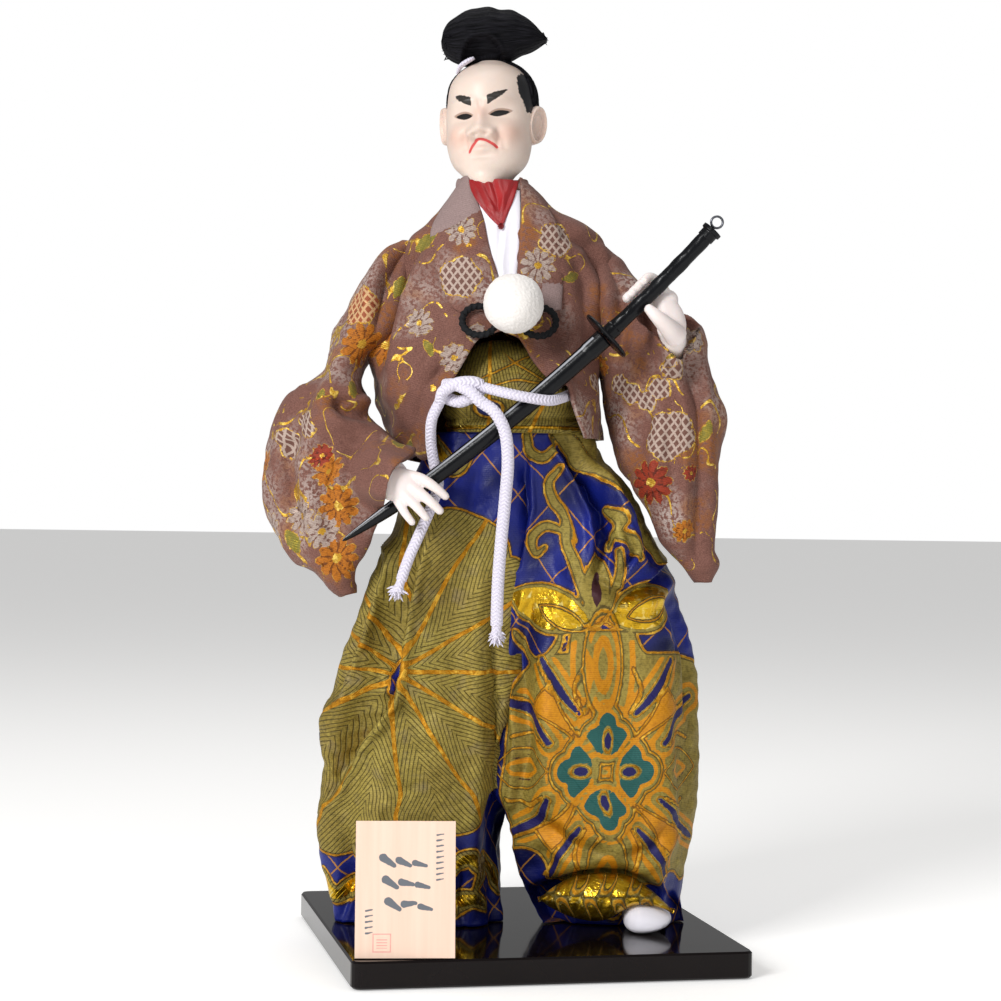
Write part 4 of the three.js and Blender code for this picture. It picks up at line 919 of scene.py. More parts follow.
# Figured twill: soft mauve-brown ground with silver mist, gold vines and motifs in loose glossy thread, and a plain
# grey-lilac reverse
jacketCloth, tree, shader, parts = newMaterial("figuredTwillBrocade", {
    "grain": (2400, 2), "speckle": (1000, 3), "mist": (46, 3), "cloud": (80, 3), "bough": (56, 1), "twig": (90, 1),
    "glint": (640, 2)}, "uv")
parts.update({key: fieldOf(tree, key) for key in ("patch", "flower", "leaf", "heart", "tone", "ray", "plain")})
parts["figured"] = drawn(tree, "1 - over(plain, 0.5)", parts)
for key in ("patch", "flower", "leaf", "heart"):  # ragged by a thread or two
    parts[key + "Gap"] = drawn(tree, key + " + (speckle - 0.5) * 1.5 + (grain - 0.5) * 0.5", parts)
    parts[key] = drawn(tree, "step((0 - " + key + "Gap) * 0.9) * figured", parts)
written(
    tree, parts, warm="step(tone - 0.5)", red="step(tone - 0.86)",
    silver="min(max((mist - 0.5) * 5, 0), 1) * step((speckle - 0.48) * 1.2) * 0.7 * figured",
    boughs="step((0.012 - abs(bough - 0.5)) * 60) * step((mist - 0.5) * 30)",
    twigs="step((0.01 - abs(twig - 0.53)) * 60) * step((0.46 - mist) * 30)",
    vines="max(boughs, twigs) * step((glint - 0.4) * 6) * figured",
    amber="min(max(cloud * 8 - 4.3, 0), 1) * step((speckle - 0.44) * 2) * figured",
    rising="step(0.32 - fold(u * 0.8 + v * 0.6 + speckle * 0.4, 1))",
    falling="step(0.32 - fold(u * 0.8 - v * 0.6 + speckle * 0.4, 1))",
    cells="max(rising, falling)",
    petals="step((0.4 + (speckle - 0.5) * 0.9 - ray) * 1.4)",
    weft="0.5 + 0.5 * sin(v * 9.6 + u * 3.2 + speckle * 4)",  # threads of 0.3 mm, drawn at 0.65 to show
    rims="max(max(step(0.2 - abs(patchGap)), step(0.14 - abs(flowerGap)) * 0.7), step(0.16 - abs(leafGap)))",
    outline="rims * step((glint - 0.43) * 6) * figured",
    worn="min(max((speckle - 0.5) * 4 + 0.15, 0), 1) * 0.7 + weft * 0.2",  # loose floats let the ground through
    reverse=("#7A6562", ("grain", "#9C8784")),
    ground=("#4E2F29", ("min(max(grain * 1.5 - 0.25 + cloud * 0.3, 0), 1)", "#80594E"), ("1 - figured", "reverse")),
    lines=("#AD998D", ("warm", "#C09A70")),
    net=("#6A4A40", ("warm * 0.6", "#A34E26"), ("cells", "lines")),
    thread=("#A8978D", ("warm", "#AE681C"), ("red", "#8E3420")),
    shade=("#6C4C42", ("warm", "#6A3A14"), ("red", "#5A2418")),
    bloom=("thread", ("worn", "shade"), ("petals", "shade")),
    foliage=("#7C7434", ("worn", "#A9902F"), ("weft * 0.4", "#4E4A22")),
    # the gold thread's pale flecks are painted glints
    gold=("#B88C2E", ("min(max(glint * 6 - 3, 0), 1)", "#EBCB66")),
    colour=("ground", ("silver", "#B9AAA2"), ("amber * 0.7", "#8A5424"), ("vines", "gold"), ("leaf", "foliage"),
            ("flower", "bloom"), ("patch", "net"), ("heart", "gold"), ("outline", "gold")),
    figures="min(flower + patch + leaf + silver * 0.6 + vines, 1)")
feed(tree, shader, parts, "0.6 - figures * 0.18 + grain * 0.12",
     "figures * 0.5 + grain * 0.7 + weft * 0.3 - petals * flower * 0.5", 0.0002,
     "min(outline * 0.6 + vines * 0.7 + heart * 0.5 + leaf * 0.15, 1)")
shader.inputs["Sheen Weight"].default_value = 0.05
shader.inputs["Specular IOR Level"].default_value = 0.15
for piece, node in zip((jacket, rightLapel, leftLapel, *sleeves), ("jacket", "right_lapel", "left_lapel",
                                                                   "right_sleeve", "left_sleeve")):
    dressed(piece, jacketCloth, "jacket_brocade", node)


# Head: level ovals from chin to crown, with the face raised and sunk by soft hills, in the head's own axes
headSet = {"chin": 240, "height": 38.2, "below": 4.6, "middle": (-11, 0), "turn": math.radians(-12),
           "roll": math.radians(4.5), "pivot": 17,
           "rows": 152, "columns": 304}
faceWidth = [[-0.12, 1.4], [-0.085, 3.4], [-0.04, 5.4], [0, 6.9], [0.05, 8.6], [0.1, 10.6], [0.16, 12.0], [0.225, 12.8],
             [0.3, 13.3], [0.4, 13.6],
             [0.6, 13.9], [0.8, 12.8], [0.935, 8.9], [1, 4]]
chinAside = [[-0.12, 4.4], [-0.08, 2.8], [0, 1.1], [0.16, 0.5], [0.35, 0], [1, 0]]
faceFront = [[-0.12, -12.6], [-0.085, -15.4], [-0.04, -16.6], [0, -16.6], [0.07, -16], [0.2, -15.2], [0.6, -15.2],
             [0.8, -13.6], [0.93, -9], [1, -4]]
headBack = [[-0.12, -4], [0, 3], [0.07, 5], [0.2, 9], [0.5, 14.4], [0.75, 14.2], [0.93, 9.6], [1, 4]]
# Each hill: side place, height, how far out, half-width, half-height, and 1 where it is the same on both sides
hills = [(0, 14.8, 3.2, 2.5, 2.1, 0), (0, 18.6, 1.5, 1.7, 3.2, 0), (3.1, 13.4, 2.2, 1.5, 1.5, 1),
         (5.9, 19.3, -1.7, 3.4, 2.1, 1),
         (5.9, 19.5, 0.8, 2.7, 1.0, 1), (5.4, 24.0, 1.1, 3.8, 1.4, 1), (0, 22.6, -0.6, 0.9, 1.8, 0),
         (7.8, 13.8, 1.3, 3.2, 3.4, 1),
         (0, 12.2, 0.5, 3.0, 0.9, 0), (0, 8.6, 1.1, 2.6, 1.1, 0), (0, 6.4, -0.6, 3.0, 0.9, 0),
         (0.6, 1.0, 0.9, 4.2, 2.6, 0),
         (5.0, 11.0, -0.9, 0.9, 2.6, 1), (12.5, 27, -0.5, 3, 4, 1), (1.5, 13.0, -0.8, 0.7, 0.5, 1),
         (0, 30, 0.6, 6, 4, 0)]


def turnedHead(points):  # from the head's own axes to the figure's
    c, s = math.cos(headSet["turn"]), math.sin(headSet["turn"])
    x, y, z = points[..., 0], points[..., 1], points[..., 2]
    return np.stack([x * c - y * s + headSet["middle"][0], x * s + y * c + headSet["middle"][1], z + headSet["chin"]],
                    -1)


def headSection(h):  # left, right, front and back of the head at these heights
    share = h / headSet["height"]
    aside, half = through(chinAside, share), through(faceWidth, share)
    return aside - half, aside + half, through(faceFront, share), through(headBack, share), 1.0, 0


def unpainted(grid, blush):  # the painted fields of a piece that has no features
    blank = {key: np.full(grid.shape[:2], farOff) for key in featureKeys}
    return {**blank, "blush": np.full(grid.shape[:2], blush)}


featureKeys = ("brow", "eye", "lid", "mouth", "temple")
at = np.linspace(0, 1, headSet["rows"])
z = (headSet["height"] + headSet["below"]) * ((1 - np.cos(math.pi * at)) * 0.3 + at * 0.4) - headSet["below"]
angle = turns(headSet["columns"])
headGrid = ringStack(headSection, z, angle)
facing = np.clip(-headGrid[..., 1] / 7, 0, 1)
c, s, pivot = math.cos(headSet["roll"]), math.sin(headSet["roll"]), headSet["pivot"]
x = headGrid[..., 0] * c + (headGrid[..., 2] - pivot) * s  # the features lean with the head's roll
h = (headGrid[..., 2] - pivot) * c - headGrid[..., 0] * s + pivot
out = np.zeros_like(x)
for side, height, far, wide, tall, both in hills:
    for sign in ((1, -1) if both else (1,)):
        out += far * np.exp(-((x - sign * side) / wide) ** 2 - ((h - height) / tall) ** 2)
lips = smoothLine([[-4.2, 8.2], [-2.5, 10.4], [-1.0, 11.6], [0.8, 11.4], [2.8, 10.4], [4.6, 9.0]], 30)
frown = np.abs(nearLine(x, h, lips)[0])
out -= 0.5 * np.exp(-(frown / 0.5) ** 2)
for sign in (1, -1):
    fold, along = nearLine(x, h, [[sign * 4.4, 14.6], [sign * 6.4, 11.4], [sign * 6.6, 8.0]])
    out -= 0.6 * np.exp(-(fold / 0.9) ** 2) * np.sin(math.pi * along) ** 0.5
headGrid = headGrid + outward(headGrid) * (out * facing)[..., None]
templeLine = [[20, 13.2], [22.5, 12.7], [25, 12.1], [28, 11.5], [31, 10.9], [33, 11.4]]
features = {
    "brow": nearest(*[np.maximum(leafGap(x, h, sign * 3.4, 24.0 + 0.1 * sign, 5.8, 1.2, sign * 0.48), 2.5 - sign * x)
                      for sign in (1, -1)]),
    "eye": nearest(*[leafGap(x, h, sign * 5.9 + 0.2, 19.5, 3.2, 0.92, sign * 0.12) for sign in (1, -1)]),
    "lid": nearest(*[leafGap(x, h, sign * 6.0 + 0.2, 19.8, 3.8, 1.25, sign * 0.12) for sign in (1, -1)]),
    "mouth": frown - (0.34 + 0.14 * np.clip(np.abs(x) / 4, 0, 1)),
    "temple": furthest(through(templeLine, h) - x, 20.2 - h, h - 33)}
fields = {key: np.maximum(features[key], np.where(facing > 0, -farOff, farOff)) for key in featureKeys}
fields["blush"] = facing * sum(  # the cheeks, between the eyes, and beside the mouth
    share * np.exp(-((np.abs(x) - side) / wide) ** 2 - ((h - height) / tall) ** 2)
    for share, side, wide, height, tall in ((1, 8.2, 3.4, 13.4, 3.6), (0.7, 0, 3.4, 20, 2.8),
                                            (0.6, 4.6, 1.4, 10.6, 2.6)))
skull = surface("skull", turnedHead(headGrid), fields=fields)

# Neck: rings from under the collars to inside the chin
neckSet = {"bottom": 227.6, "top": 246, "rows": 40, "columns": 76, "sides": (-18, -4, -7.4, 7)}
z = np.linspace(neckSet["bottom"], neckSet["top"], neckSet["rows"])
neckGrid = ringStack(lambda h: (*(side + 0 * h for side in neckSet["sides"]), 1.0, 0), z, turns(neckSet["columns"]))
neck = surface("neck", neckGrid, fields=unpainted(neckGrid, 0.2))

# Ears: a tall oval dish with a rolled rim and a hollow, standing out from each side
earSet = {"place": (12.6, 0.4, 17.9), "halfDepth": 4.3, "halfHeight": 6.7, "flare": 0.46, "rows": 40, "columns": 72}
ears = []
for sign in (1, -1):
    r = np.linspace(0.02, 1, earSet["rows"])[:, None]
    a = np.linspace(0, 2 * math.pi, earSet["columns"], endpoint=False)[None, :]
    lobe = 1 - 0.12 * np.clip(-np.sin(a), 0, 1)
    rim = 1.2 * np.exp(-((r - 0.84) / 0.12) ** 2) + 0.5 * np.exp(-((r - 0.5) / 0.12) ** 2) * np.clip(np.cos(a - 0.6), 0,
                                                                                                     1)
    rim = rim - 0.9 * np.exp(-(r / 0.4) ** 2) - 2.2 * np.clip((r - 0.9) / 0.1, 0, 1) ** 2
    outY, outZ = np.cos(a) * r * earSet["halfDepth"] * lobe, np.sin(a) * r * earSet["halfHeight"] * lobe
    outX = earSet["flare"] * (outY + earSet["halfDepth"]) + 0.88 * rim  # the dish opens toward the back
    ear = np.stack([sign * outX, outY - 0.46 * rim, outZ], -1) + np.array(earSet["place"]) * np.array([sign, 1, 1])
    ear[..., 0] += 0.08 * sign * (ear[..., 2] - headSet["pivot"])
    ear = turnedHead(ear)[::-1] if sign > 0 else turnedHead(ear)[::-1, ::-1]
    ears.append(surface("ear", ear, fields=unpainted(ear, 0.35)))
head = joined("painted_head", [skull, neck] + ears)


# Painted gofun skin: warm white shell lacquer, satin, with the features brushed on the head
def gofun(name, shades, strokes):
    # two shades of the ground, then each brushed stroke's field, how ragged, how sharp, its strength and colour
    skin, tree, shader, parts = newMaterial(name, {"tint": (90, 3), "pores": (2200, 3), "hairs": (900, 3)})
    layers = [("min(max(tint * 1.4 - 0.2, 0), 1)", shades[1])]
    if strokes:
        parts["blush"] = fieldOf(tree, "blush")
        layers.append(("min(blush * 0.5, 0.6)", "#D2A08C"))
    for key, rag, sharp, share, colour in strokes:
        parts.update({"field": fieldOf(tree, key), "rag": rag, "sharp": sharp})
        parts[key] = drawn(tree, "step((0 - field - (hairs - 0.5) * rag) * sharp)", parts)
        layers.append((key + " * " + share, colour))
    parts["colour"] = painted(tree, parts, shades[0], *layers)
    feed(tree, shader, parts, "0.36 + pores * 0.12", "pores + tint * 0.5", 0.00004)
    shader.inputs["Subsurface Weight"].default_value = 0.1
    shader.inputs["Subsurface Radius"].default_value = (0.004, 0.002, 0.001)
    shader.inputs["Subsurface Scale"].default_value = 1.0
    shader.inputs["Specular IOR Level"].default_value = 0.35
    return skin


dressed(head, gofun("paintedGofunSkin", ("#D0BBAE", "#DDCDC1"), (
    ("lid", 0.2, 0.5, "0.75", "#8A6A58"), ("temple", 1.2, 0.7, "1", "#131216"), ("brow", 0.7, 0.7, "1", "#2B2622"),
    ("eye", 0.3, 0.9, "1", "#0E0B0A"), ("mouth", 0.3, 0.8, "0.9", "#C01F24"))), "doll_skin", "head")
print("head made")


# Hair: a combed cap from temple to temple, open at the face, and a folded topknot tied at its root
hairSet = {"rows": 84, "columns": 190, "lift": 2.1, "bottom": 3.5, "top": 38.7, "thickness": 0.0018}
hairCloth, tree, shader, parts = newMaterial("combedSilkyFibre", {}, "uv")
combed = addNode(tree, "CombineXYZ", {0: drawn(tree, "u * 2.4", parts), 1: drawn(tree, "v * 0.12", parts)}).outputs[0]
parts["strand"] = addNode(tree, "TexNoise", {"Vector": combed, "Scale": 1.6, "Detail": 4.0}).outputs["Fac"]
written(tree, parts, colour=("#020203", ("min(max(strand * 2.6 - 1, 0), 1)", "#242329")))
feed(tree, shader, parts, "0.42 + strand * 0.3", "strand", 0.0005)
shader.inputs["Specular IOR Level"].default_value = 0.07

share = np.linspace(0, 1, hairSet["rows"])[:, None]
h = hairSet["bottom"] + (hairSet["top"] - hairSet["bottom"]) * share ** 0.9
across = np.linspace(0, 1, hairSet["columns"])[None, :]
faceEdge = through([[3, 1.1], [9, 1.0], [16, 0.7], [20.5, 0.2], [24, -0.08], [30, -0.16], [34, -0.1], [38, 0.25]], h)
angle = faceEdge + (math.pi - 2 * faceEdge) * across
strands = 0.16 * np.sin(angle * 74 + 2 * np.sin(h / 5)) + 0.12 * np.sin(angle * 131 + h / 3)
lift = hairSet["lift"] * np.sin(math.pi * np.clip(across, 0.004, 0.996)) ** 0.55 + strands
half, front, back = (through(line, np.minimum(h / headSet["height"], 1)) for line in (faceWidth, faceFront, headBack))
hair = np.stack([(half + lift) * np.cos(angle), (front + back) / 2 + ((back - front) / 2 + lift) * np.sin(angle),
                 h + 1.6 * share ** 6 + 0 * angle], -1)
backHair = surface("combed_back_hair", turnedHead(hair), around=False, uv=(angle * 14, h))
backHair = thickened(backHair, hairSet["thickness"])
dressed(backHair, hairCloth, "hair_fibre", "back_hair")

knotSet = {"upper": [[-27, 284.2], [-26.4, 288], [-24, 291.6], [-20.4, 294.2], [-16, 295.3], [-10, 295.5], [-5, 294.9],
                     [-1.2, 293.1], [2.6, 290.2], [6.4, 286.2]], "left": -27, "length": 33.4, "depth": 9.6, "rows": 108,
           "columns": 100,
           "lower": [[-27, 283.4], [-25.6, 280.4], [-22.4, 278.2], [-17, 277.8], [-10, 278.4], [-6, 279.2], [-1, 281],
                     [3, 283], [6.4, 285.6]]}
t = np.linspace(0, 1, knotSet["rows"])[:, None]
x = knotSet["left"] + knotSet["length"] * (0.5 - 0.5 * np.cos(math.pi * t))
upper, lower = through(knotSet["upper"], x), through(knotSet["lower"], x)
girth = knotSet["depth"] * np.sqrt(np.clip(1 - np.abs((x + 11.5) / 19) ** 2.4, 0.01, 1))
angle = 2 * math.pi * np.arange(knotSet["columns"]) / knotSet["columns"]
lumps = 1 + 0.03 * np.sin(x / 2.1 + 2 * np.sin(angle)) + 0.02 * np.sin(x / 1.1)
ridges = (1 + 0.014 * np.sin(angle * 23 + 3 * np.sin(x / 7)) + 0.01 * np.sin(angle * 41 - x / 2)) * lumps
bun = np.stack([x + 0 * angle, 1.6 + girth * np.cos(angle) * ridges,
                (upper + lower) / 2 + (upper - lower) / 2 * np.sin(angle) * ridges], -1)
# the folded end leaves an arched hollow in front, with a rounded lip of fibre over it
arch = np.hypot((bun[..., 0] + 14.1) / 6.2, (bun[..., 2] - 278.2) / 7.0)
before = np.clip((2 - bun[..., 1]) / 4, 0, 1)
bun[..., 1] += (3.4 * smoothStep(1.02 - arch, 0, 0.1) - 0.7 * np.exp(-((arch - 1.12) / 0.09) ** 2)) * before
root = rod(smoothLine([[-11, 4.4, 275.6], [-11.4, 3.6, 279], [-12, 2.6, 284]], 24),
           4.7 + 0.3 * np.sin(np.arange(24) * 0.9), 60)
tufted = [surface("bun", bun, uv=ringUv(knotSet["rows"], knotSet["columns"], 44, 34)),
          surface("root", root, uv=ringUv(24, 60, 40, 8))]
rng = np.random.default_rng(4)
for k in range(40):  # loose fibre ends at the blunt end and the point
    start = np.array([-25.8, rng.uniform(-6, 7), rng.uniform(279.5, 288.5)]) if k % 3 else np.array([5.8,
                                                                                                     rng.uniform(-3, 4),
                                                                                                     285.6])
    way = unit(np.array([-1.0 if k % 3 else 1.0, rng.normal() * 0.5, rng.normal() * 0.6 - 0.2]))
    line = start + way * np.linspace(-2, rng.uniform(0.1, 1.1), 6)[:, None]
    line[:, 2] += np.linspace(0, 1, 6) ** 2 * rng.uniform(-1.4, 0.8)
    tufted.append(surface("fibre", rod(line, [0.3, 0.3, 0.26, 0.22, 0.16, 0.06], 5, reference=(0.2, 1, 0.4)),
                          uv=ringUv(6, 5, 2, 3)))
dressed(joined("folded_topknot", tufted), hairCloth, "hair_fibre", "topknot")
tieSet = {"rows": 40, "sides": 18, "radius": 1.5, "flat": (0.5, 1.1), "width": 7, "length": 10}
tieLine = smoothLine([[-21.6, -0.6, 275.0], [-20.6, -3.4, 276.4], [-18.4, -5.6, 277.6], [-16.6, -6.2, 278.4]],
                     tieSet["rows"])
tieRadius = tieSet["radius"] * np.sin(np.linspace(0.35, math.pi - 0.35, tieSet["rows"])) ** 0.4
tie = surface("white_hair_tie", rod(tieLine, tieRadius, tieSet["sides"], tieSet["flat"]),
              uv=ringUv(tieSet["rows"], tieSet["sides"], tieSet["width"], tieSet["length"]))
dressed(tie, cordCloth, "white_cord")
print("hair made")


# Hands: fingers and palms as tubes and eggs, fused into one skin and smoothed
handSet = {"voxel": 0.00034, "rounds": 9, "rows": 60, "sides": 22, "eggRows": 26, "eggColumns": 40}


def egg(centre, half, turn, rows, columns):  # a ball stretched by half and turned about y, as rings about z
    low = np.linspace(0.06, math.pi - 0.06, rows)[:, None]
    around = 2 * math.pi * np.arange(columns)[None, :] / columns
    x, y = half[0] * np.sin(low) * np.cos(around), half[1] * np.sin(low) * np.sin(around)
    z = 0 * around - half[2] * np.cos(low)
    c, s = math.cos(turn), math.sin(turn)
    return np.stack([x * c + z * s + centre[0], y + centre[1], z * c - x * s + centre[2]], -1)


def finger(points, *radii):  # a tube that narrows along a smooth line to a round tip
    t = np.linspace(0, 1, handSet["rows"])
    radius = through(list(zip(np.linspace(0, 1, len(radii)), radii)), t)
    radius = radius * np.sqrt(np.clip(1 - (np.clip(t - 0.93, 0, 1) / 0.07) ** 2, 0.02, 1))
    return rod(smoothLine(points, handSet["rows"]), radius, handSet["sides"], reference=(0.1, 1, 0.1))


def fused(name, palms, fingers):  # palms as an egg's centre, half sizes and turn, with fingers, in one skin
    grids = [egg(*palm, handSet["eggRows"], handSet["eggColumns"]) for palm in palms] + fingers
    return finished(joined(name, [surface("shell", grid) for grid in grids]),
                    ("REMESH", {"mode": "VOXEL", "voxel_size": handSet["voxel"]}),
                    ("SMOOTH", {"factor": 0.5, "iterations": handSet["rounds"]}))


rightHand = fused(
    "resting_right_hand", [((-35.6, -40.4, 143.8), (6.6, 2.7, 5.2), 0.72),
                           ((-38.8, -39.6, 144.6), (5.6, 3.3, 5.0), 0.6),
                           ((-39.4, -38.4, 147.6), (5.6, 3.2, 4.6), 0.2)],
    [finger([[-35.5, -39.6, 147.6], [-29.8, -41.2, 146.0], [-25.4, -42.4, 143.4], [-21.6, -41.6, 140.2]], 1.7, 1.75,
            1.5, 1.15),
     finger([[-36.6, -39.8, 146], [-31.8, -41.8, 143.0], [-27.2, -43.2, 139.6], [-23.2, -42.0, 135.8]], 1.8, 1.8, 1.55,
            1.2),
     finger([[-37.8, -40, 144.4], [-34.0, -41.9, 140.8], [-30.6, -43.0, 137.4], [-27.4, -42.0, 133.7]], 1.7, 1.7, 1.45,
            1.1),
     finger([[-39.0, -39.6, 143], [-36.2, -41.3, 138.8], [-34.2, -42.2, 135.6], [-31.6, -41.4, 132.3]], 1.5, 1.5, 1.3,
            1.0),
     finger([[-37.2, -40, 145.0], [-43, -34, 147.4], [-50, -25, 150.6]], 4.2, 3.9, 3.9)])
leftFingers = [finger([[46.2, -32.6, 190.2], [42.8, -37.4, 193.0], [39.4, -39.9, 195.8], [36.2, -39.8, 198.8]], 3.6,
                      2.8, 2.1, 1.3),
               finger([[44.4, -31, 193.4], [46.0, -25.6, 188.8], [46.4, -16, 184.6]], 4.3, 3.8, 3.6)]
for k in range(4):  # the four fingers pass behind the hilt, side by side along it
    shift = np.array([-1.75, 0.1, -1.8]) * k
    leftFingers.append(finger([np.array([43.6, -29.4, 201.6]) + shift * 0.6, np.array([41.2, -28.8, 206.0]) + shift,
                               np.array([38.0, -30.6, 208.0]) + shift, np.array([35.6, -33.4, 206.4]) + shift], 2.0,
                              1.85, 1.75, 1.4))
leftHand = fused("gripping_left_hand", [((44.3, -31.0, 196.0), (4.3, 3.8, 7.2), -0.42),
                                        ((42.6, -30.4, 201.0), (4.2, 3.2, 3.6), -0.4)], leftFingers)
handSkin = gofun("plainGofunSkin", ("#DDD0CC", "#EBE1DE"), ())
dressed(rightHand, handSkin, "doll_skin", "right_hand")
dressed(leftHand, handSkin, "doll_skin", "left_hand")
print("hands made")

# Sword: rings along its own curved line, a little flatter from front to back
swordSet = {"tip": (-53.3, -35, 127.2), "rise": math.radians(34), "bend": 600, "guardAt": 100.3, "length": 145.6,
            "hilt": 2.35,
            "flat": 0.85, "sheath": [[0, 0.45], [5.5, 1.15], [17, 2.0], [35, 2.45], [60, 2.7], [100, 2.85]]}


def swordRings(along, radius, angle, flat=swordSet["flat"]):
    # the line climbs by along / bend; ring point: line + radius * (toward the viewer * flat * cos + square to it * sin)
    heading = swordSet["rise"] + along / swordSet["bend"]
    tip, bend, rise = (swordSet[key] for key in ("tip", "bend", "rise"))
    line = np.stack([tip[0] + bend * (np.sin(heading) - math.sin(rise)), tip[1] + 0 * along,
                     tip[2] + bend * (math.cos(rise) - np.cos(heading))], -1)
    upright = np.stack([-np.sin(heading), 0 * heading, np.cos(heading)], -1)[:, None]
    radius = np.broadcast_to(radius, (len(along), len(angle)))[..., None]
    ring = np.cos(angle)[:, None] * np.array([0, flat, 0]) + np.sin(angle)[:, None] * upright
    return line[:, None] + radius * ring


def swordPiece(name, along, radius, *flat):  # a closed piece, mapped by the angle from the viewer's side and the length
    closed = np.append(angle, 2 * angle[-1] - angle[-2])
    return surface(name, swordRings(along, radius, angle, *flat), uv=(closed[None, :], along[:, None]))


angle = -2 * math.pi * np.arange(72) / 72 - math.pi / 2
along = np.linspace(0, swordSet["guardAt"] - 0.9, 160)
radius = through(swordSet["sheath"], along) + 0.2 * smoothStep(along, along[-1] - 7.0, along[-1] - 6.6)
radius = radius * np.sqrt(np.clip(1 - (np.clip(0.9 - along, 0, 1) / 0.9) ** 2, 0.15, 1))
edges = 1 + 0.04 * np.exp(-((np.abs(np.sin(angle + 3.94))) / 0.12) ** 2)  # the lines where the mould parted
scabbard = swordPiece("lacquered_scabbard", along, radius[:, None] * edges)
along = np.linspace(swordSet["guardAt"] + 0.9, swordSet["length"] - 3.3, 240)
crossing = [np.abs(np.sin(along[:, None] * 0.36 + sign * angle)) ** 6 for sign in (1, -1)]  # a cord wound both ways
grip = swordSet["hilt"] - 0.1 + 0.12 * np.maximum(*crossing)
grip += 0.02 * waves(np.stack(np.broadcast_arrays(along[:, None], 3 * np.cos(angle), 3 * np.sin(angle)), -1), 3, 9)
grip += 0.3 * (1 - smoothStep(along, swordSet["guardAt"] + 3.4, swordSet["guardAt"] + 3.8))[:, None]
gripPiece = swordPiece("grip", along, grip)
along = np.linspace(swordSet["length"] - 3.6, swordSet["length"], 26)
capRadius = 2.45 + 0.55 * smoothStep(along, along[-1] - 1.5, along[-1] - 1.2)
capPiece = swordPiece("cap", along, capRadius[:, None] * (1 + 0.06 * np.abs(np.cos(angle * 2)) ** 6))
hilt = joined("wrapped_hilt", [gripPiece, capPiece])
along, radius = np.array([(-0.6, 3.2), (-0.6, 7.9), (-0.45, 8.5), (-0.25, 8.75), (0, 8.8), (0.25, 8.75), (0.45, 8.5),
                          (0.6, 7.9), (0.6, 3.2)]).T
notches = 1 - 0.05 * np.abs(np.cos(2 * angle)) ** 8
guard = swordPiece("oval_guard", along + swordSet["guardAt"], radius[:, None] * notches, 1.0)
wireSet = {"beyond": 2.42, "lifted": 0.6, "radius": 1.75, "wire": 0.36, "turns": 49, "sides": 14}
ringTurn = np.linspace(0, 2 * math.pi, wireSet["turns"])[:, None]
heading = swordSet["rise"] + (swordSet["length"] + wireSet["beyond"]) / swordSet["bend"]
way, up = np.array([math.cos(heading), 0, math.sin(heading)]), np.array([-math.sin(heading), 0, math.cos(heading)])
centre = swordRings(np.array([swordSet["length"] + wireSet["beyond"]]), 0.0, angle)[0, 0] + up * wireSet["lifted"]
outWay = (np.cos(ringTurn) * way + np.sin(ringTurn) * up)[:, None]
tube = (2 * math.pi * np.arange(wireSet["sides"]) / wireSet["sides"])[:, None]
ringGrid = centre + outWay * (wireSet["radius"] + wireSet["wire"] * np.cos(tube))
ringGrid = ringGrid - wireSet["wire"] * np.sin(tube) * np.array([0, 1, 0])
wire = finished(surface("wire_ring", ringGrid, ends=False), ("WELD", {"merge_threshold": 0.000005}))
print("sword made")

# Moulded black ABS: glossy, with the fine orange peel of a mould and a painted highlight line along the scabbard's
# upper edge, on the ridge where the mould parted
blackPlastic, tree, shader, parts = newMaterial("mouldedBlackAbs", {"peel": (700, 2), "smear": (70, 2)}, "uv")
# the pale line along the scabbard's upper edge, short of the guard, is a painted highlight
written(tree, parts, rubbed="step((0.07 - abs(sin(u / 2 + 1.97))) * 3) * step((97 - v) * 4) * (0.35 + smear)",
        colour=("#040506", ("smear", "#101115"), ("rubbed", "#A9ABB2")))
feed(tree, shader, parts, "0.16 + smear * 0.16", "peel", 0.00005)
shader.inputs["Specular IOR Level"].default_value = 0.2
for piece, node in ((scabbard, "scabbard"), (hilt, "sword_hilt"), (guard, "sword_guard")):
    dressed(piece, blackPlastic, "black_plastic", node)

# Nickelled steel wire: bright, a little rough from drawing
steelWire, tree, shader, parts = newMaterial("nickelledSteelWire", {"grain": (1500, 2)})
written(tree, parts, colour=("#3E3F44", ("grain", "#7A7C84")))
feed(tree, shader, parts, "0.2 + grain * 0.2", "grain", 0.00003)
shader.inputs["Metallic"].default_value = 1.0
dressed(wire, steelWire, "ring_metal", "pommel_ring")

# Sash over the belly, of the trousers' cloth: a dome with a gilt lower trim and gold lines across its ribbed leaf
sashSet = {"bottom": 160.9, "height": 28.9, "half": 21.5, "middle": (-1.5, -9), "rows": 84, "columns": 168,
           "power": 0.85,
           "trimAt": 162.4, "mapAt": (-425, -48)}
angle = turns(sashSet["columns"])
rise = np.linspace(0, 1, sashSet["rows"])[:, None]
dome = np.sqrt(1 - 0.97 * rise ** 2.4)
c, s = (np.sign(side) * np.abs(side) ** sashSet["power"] for side in (np.cos(angle), np.sin(angle)))
x = sashSet["middle"][0] - 5 * rise + sashSet["half"] * dome * c
y = sashSet["middle"][1] + dome * (4 + 21 * s)
z = sashSet["bottom"] + sashSet["height"] * rise + 0 * c
belly = np.stack([x, y, z], -1)
roll = sum(far * np.exp(-((z - height - lean * x) / tall) ** 2) for far, height, lean, tall in
           ((0.7, 163, 0, 1.6), (0.6, 168.2, 0, 2.2), (-0.6, 165.4, 0.03, 0.8)))
roll += waves(belly * np.array([1, 1, 1.6]), 12, 41) * 0.4
belly = belly + outward(belly) * (roll * np.clip((189 - z) / 10, 0, 1))[..., None]
seamLines = [[[-12, 177.6], [-6, 180.6], [2, 184.4], [8, 185.6], [16, 184.6]], [[-4, 183.8], [2, 179.4], [10, 176]],
             [[-9, 175], [-2, 176.8], [6, 176.2], [18, 178]]]
blueGap = np.hypot((x + 10) / 1.6, z - 168) - 2.6
rim = blueGap
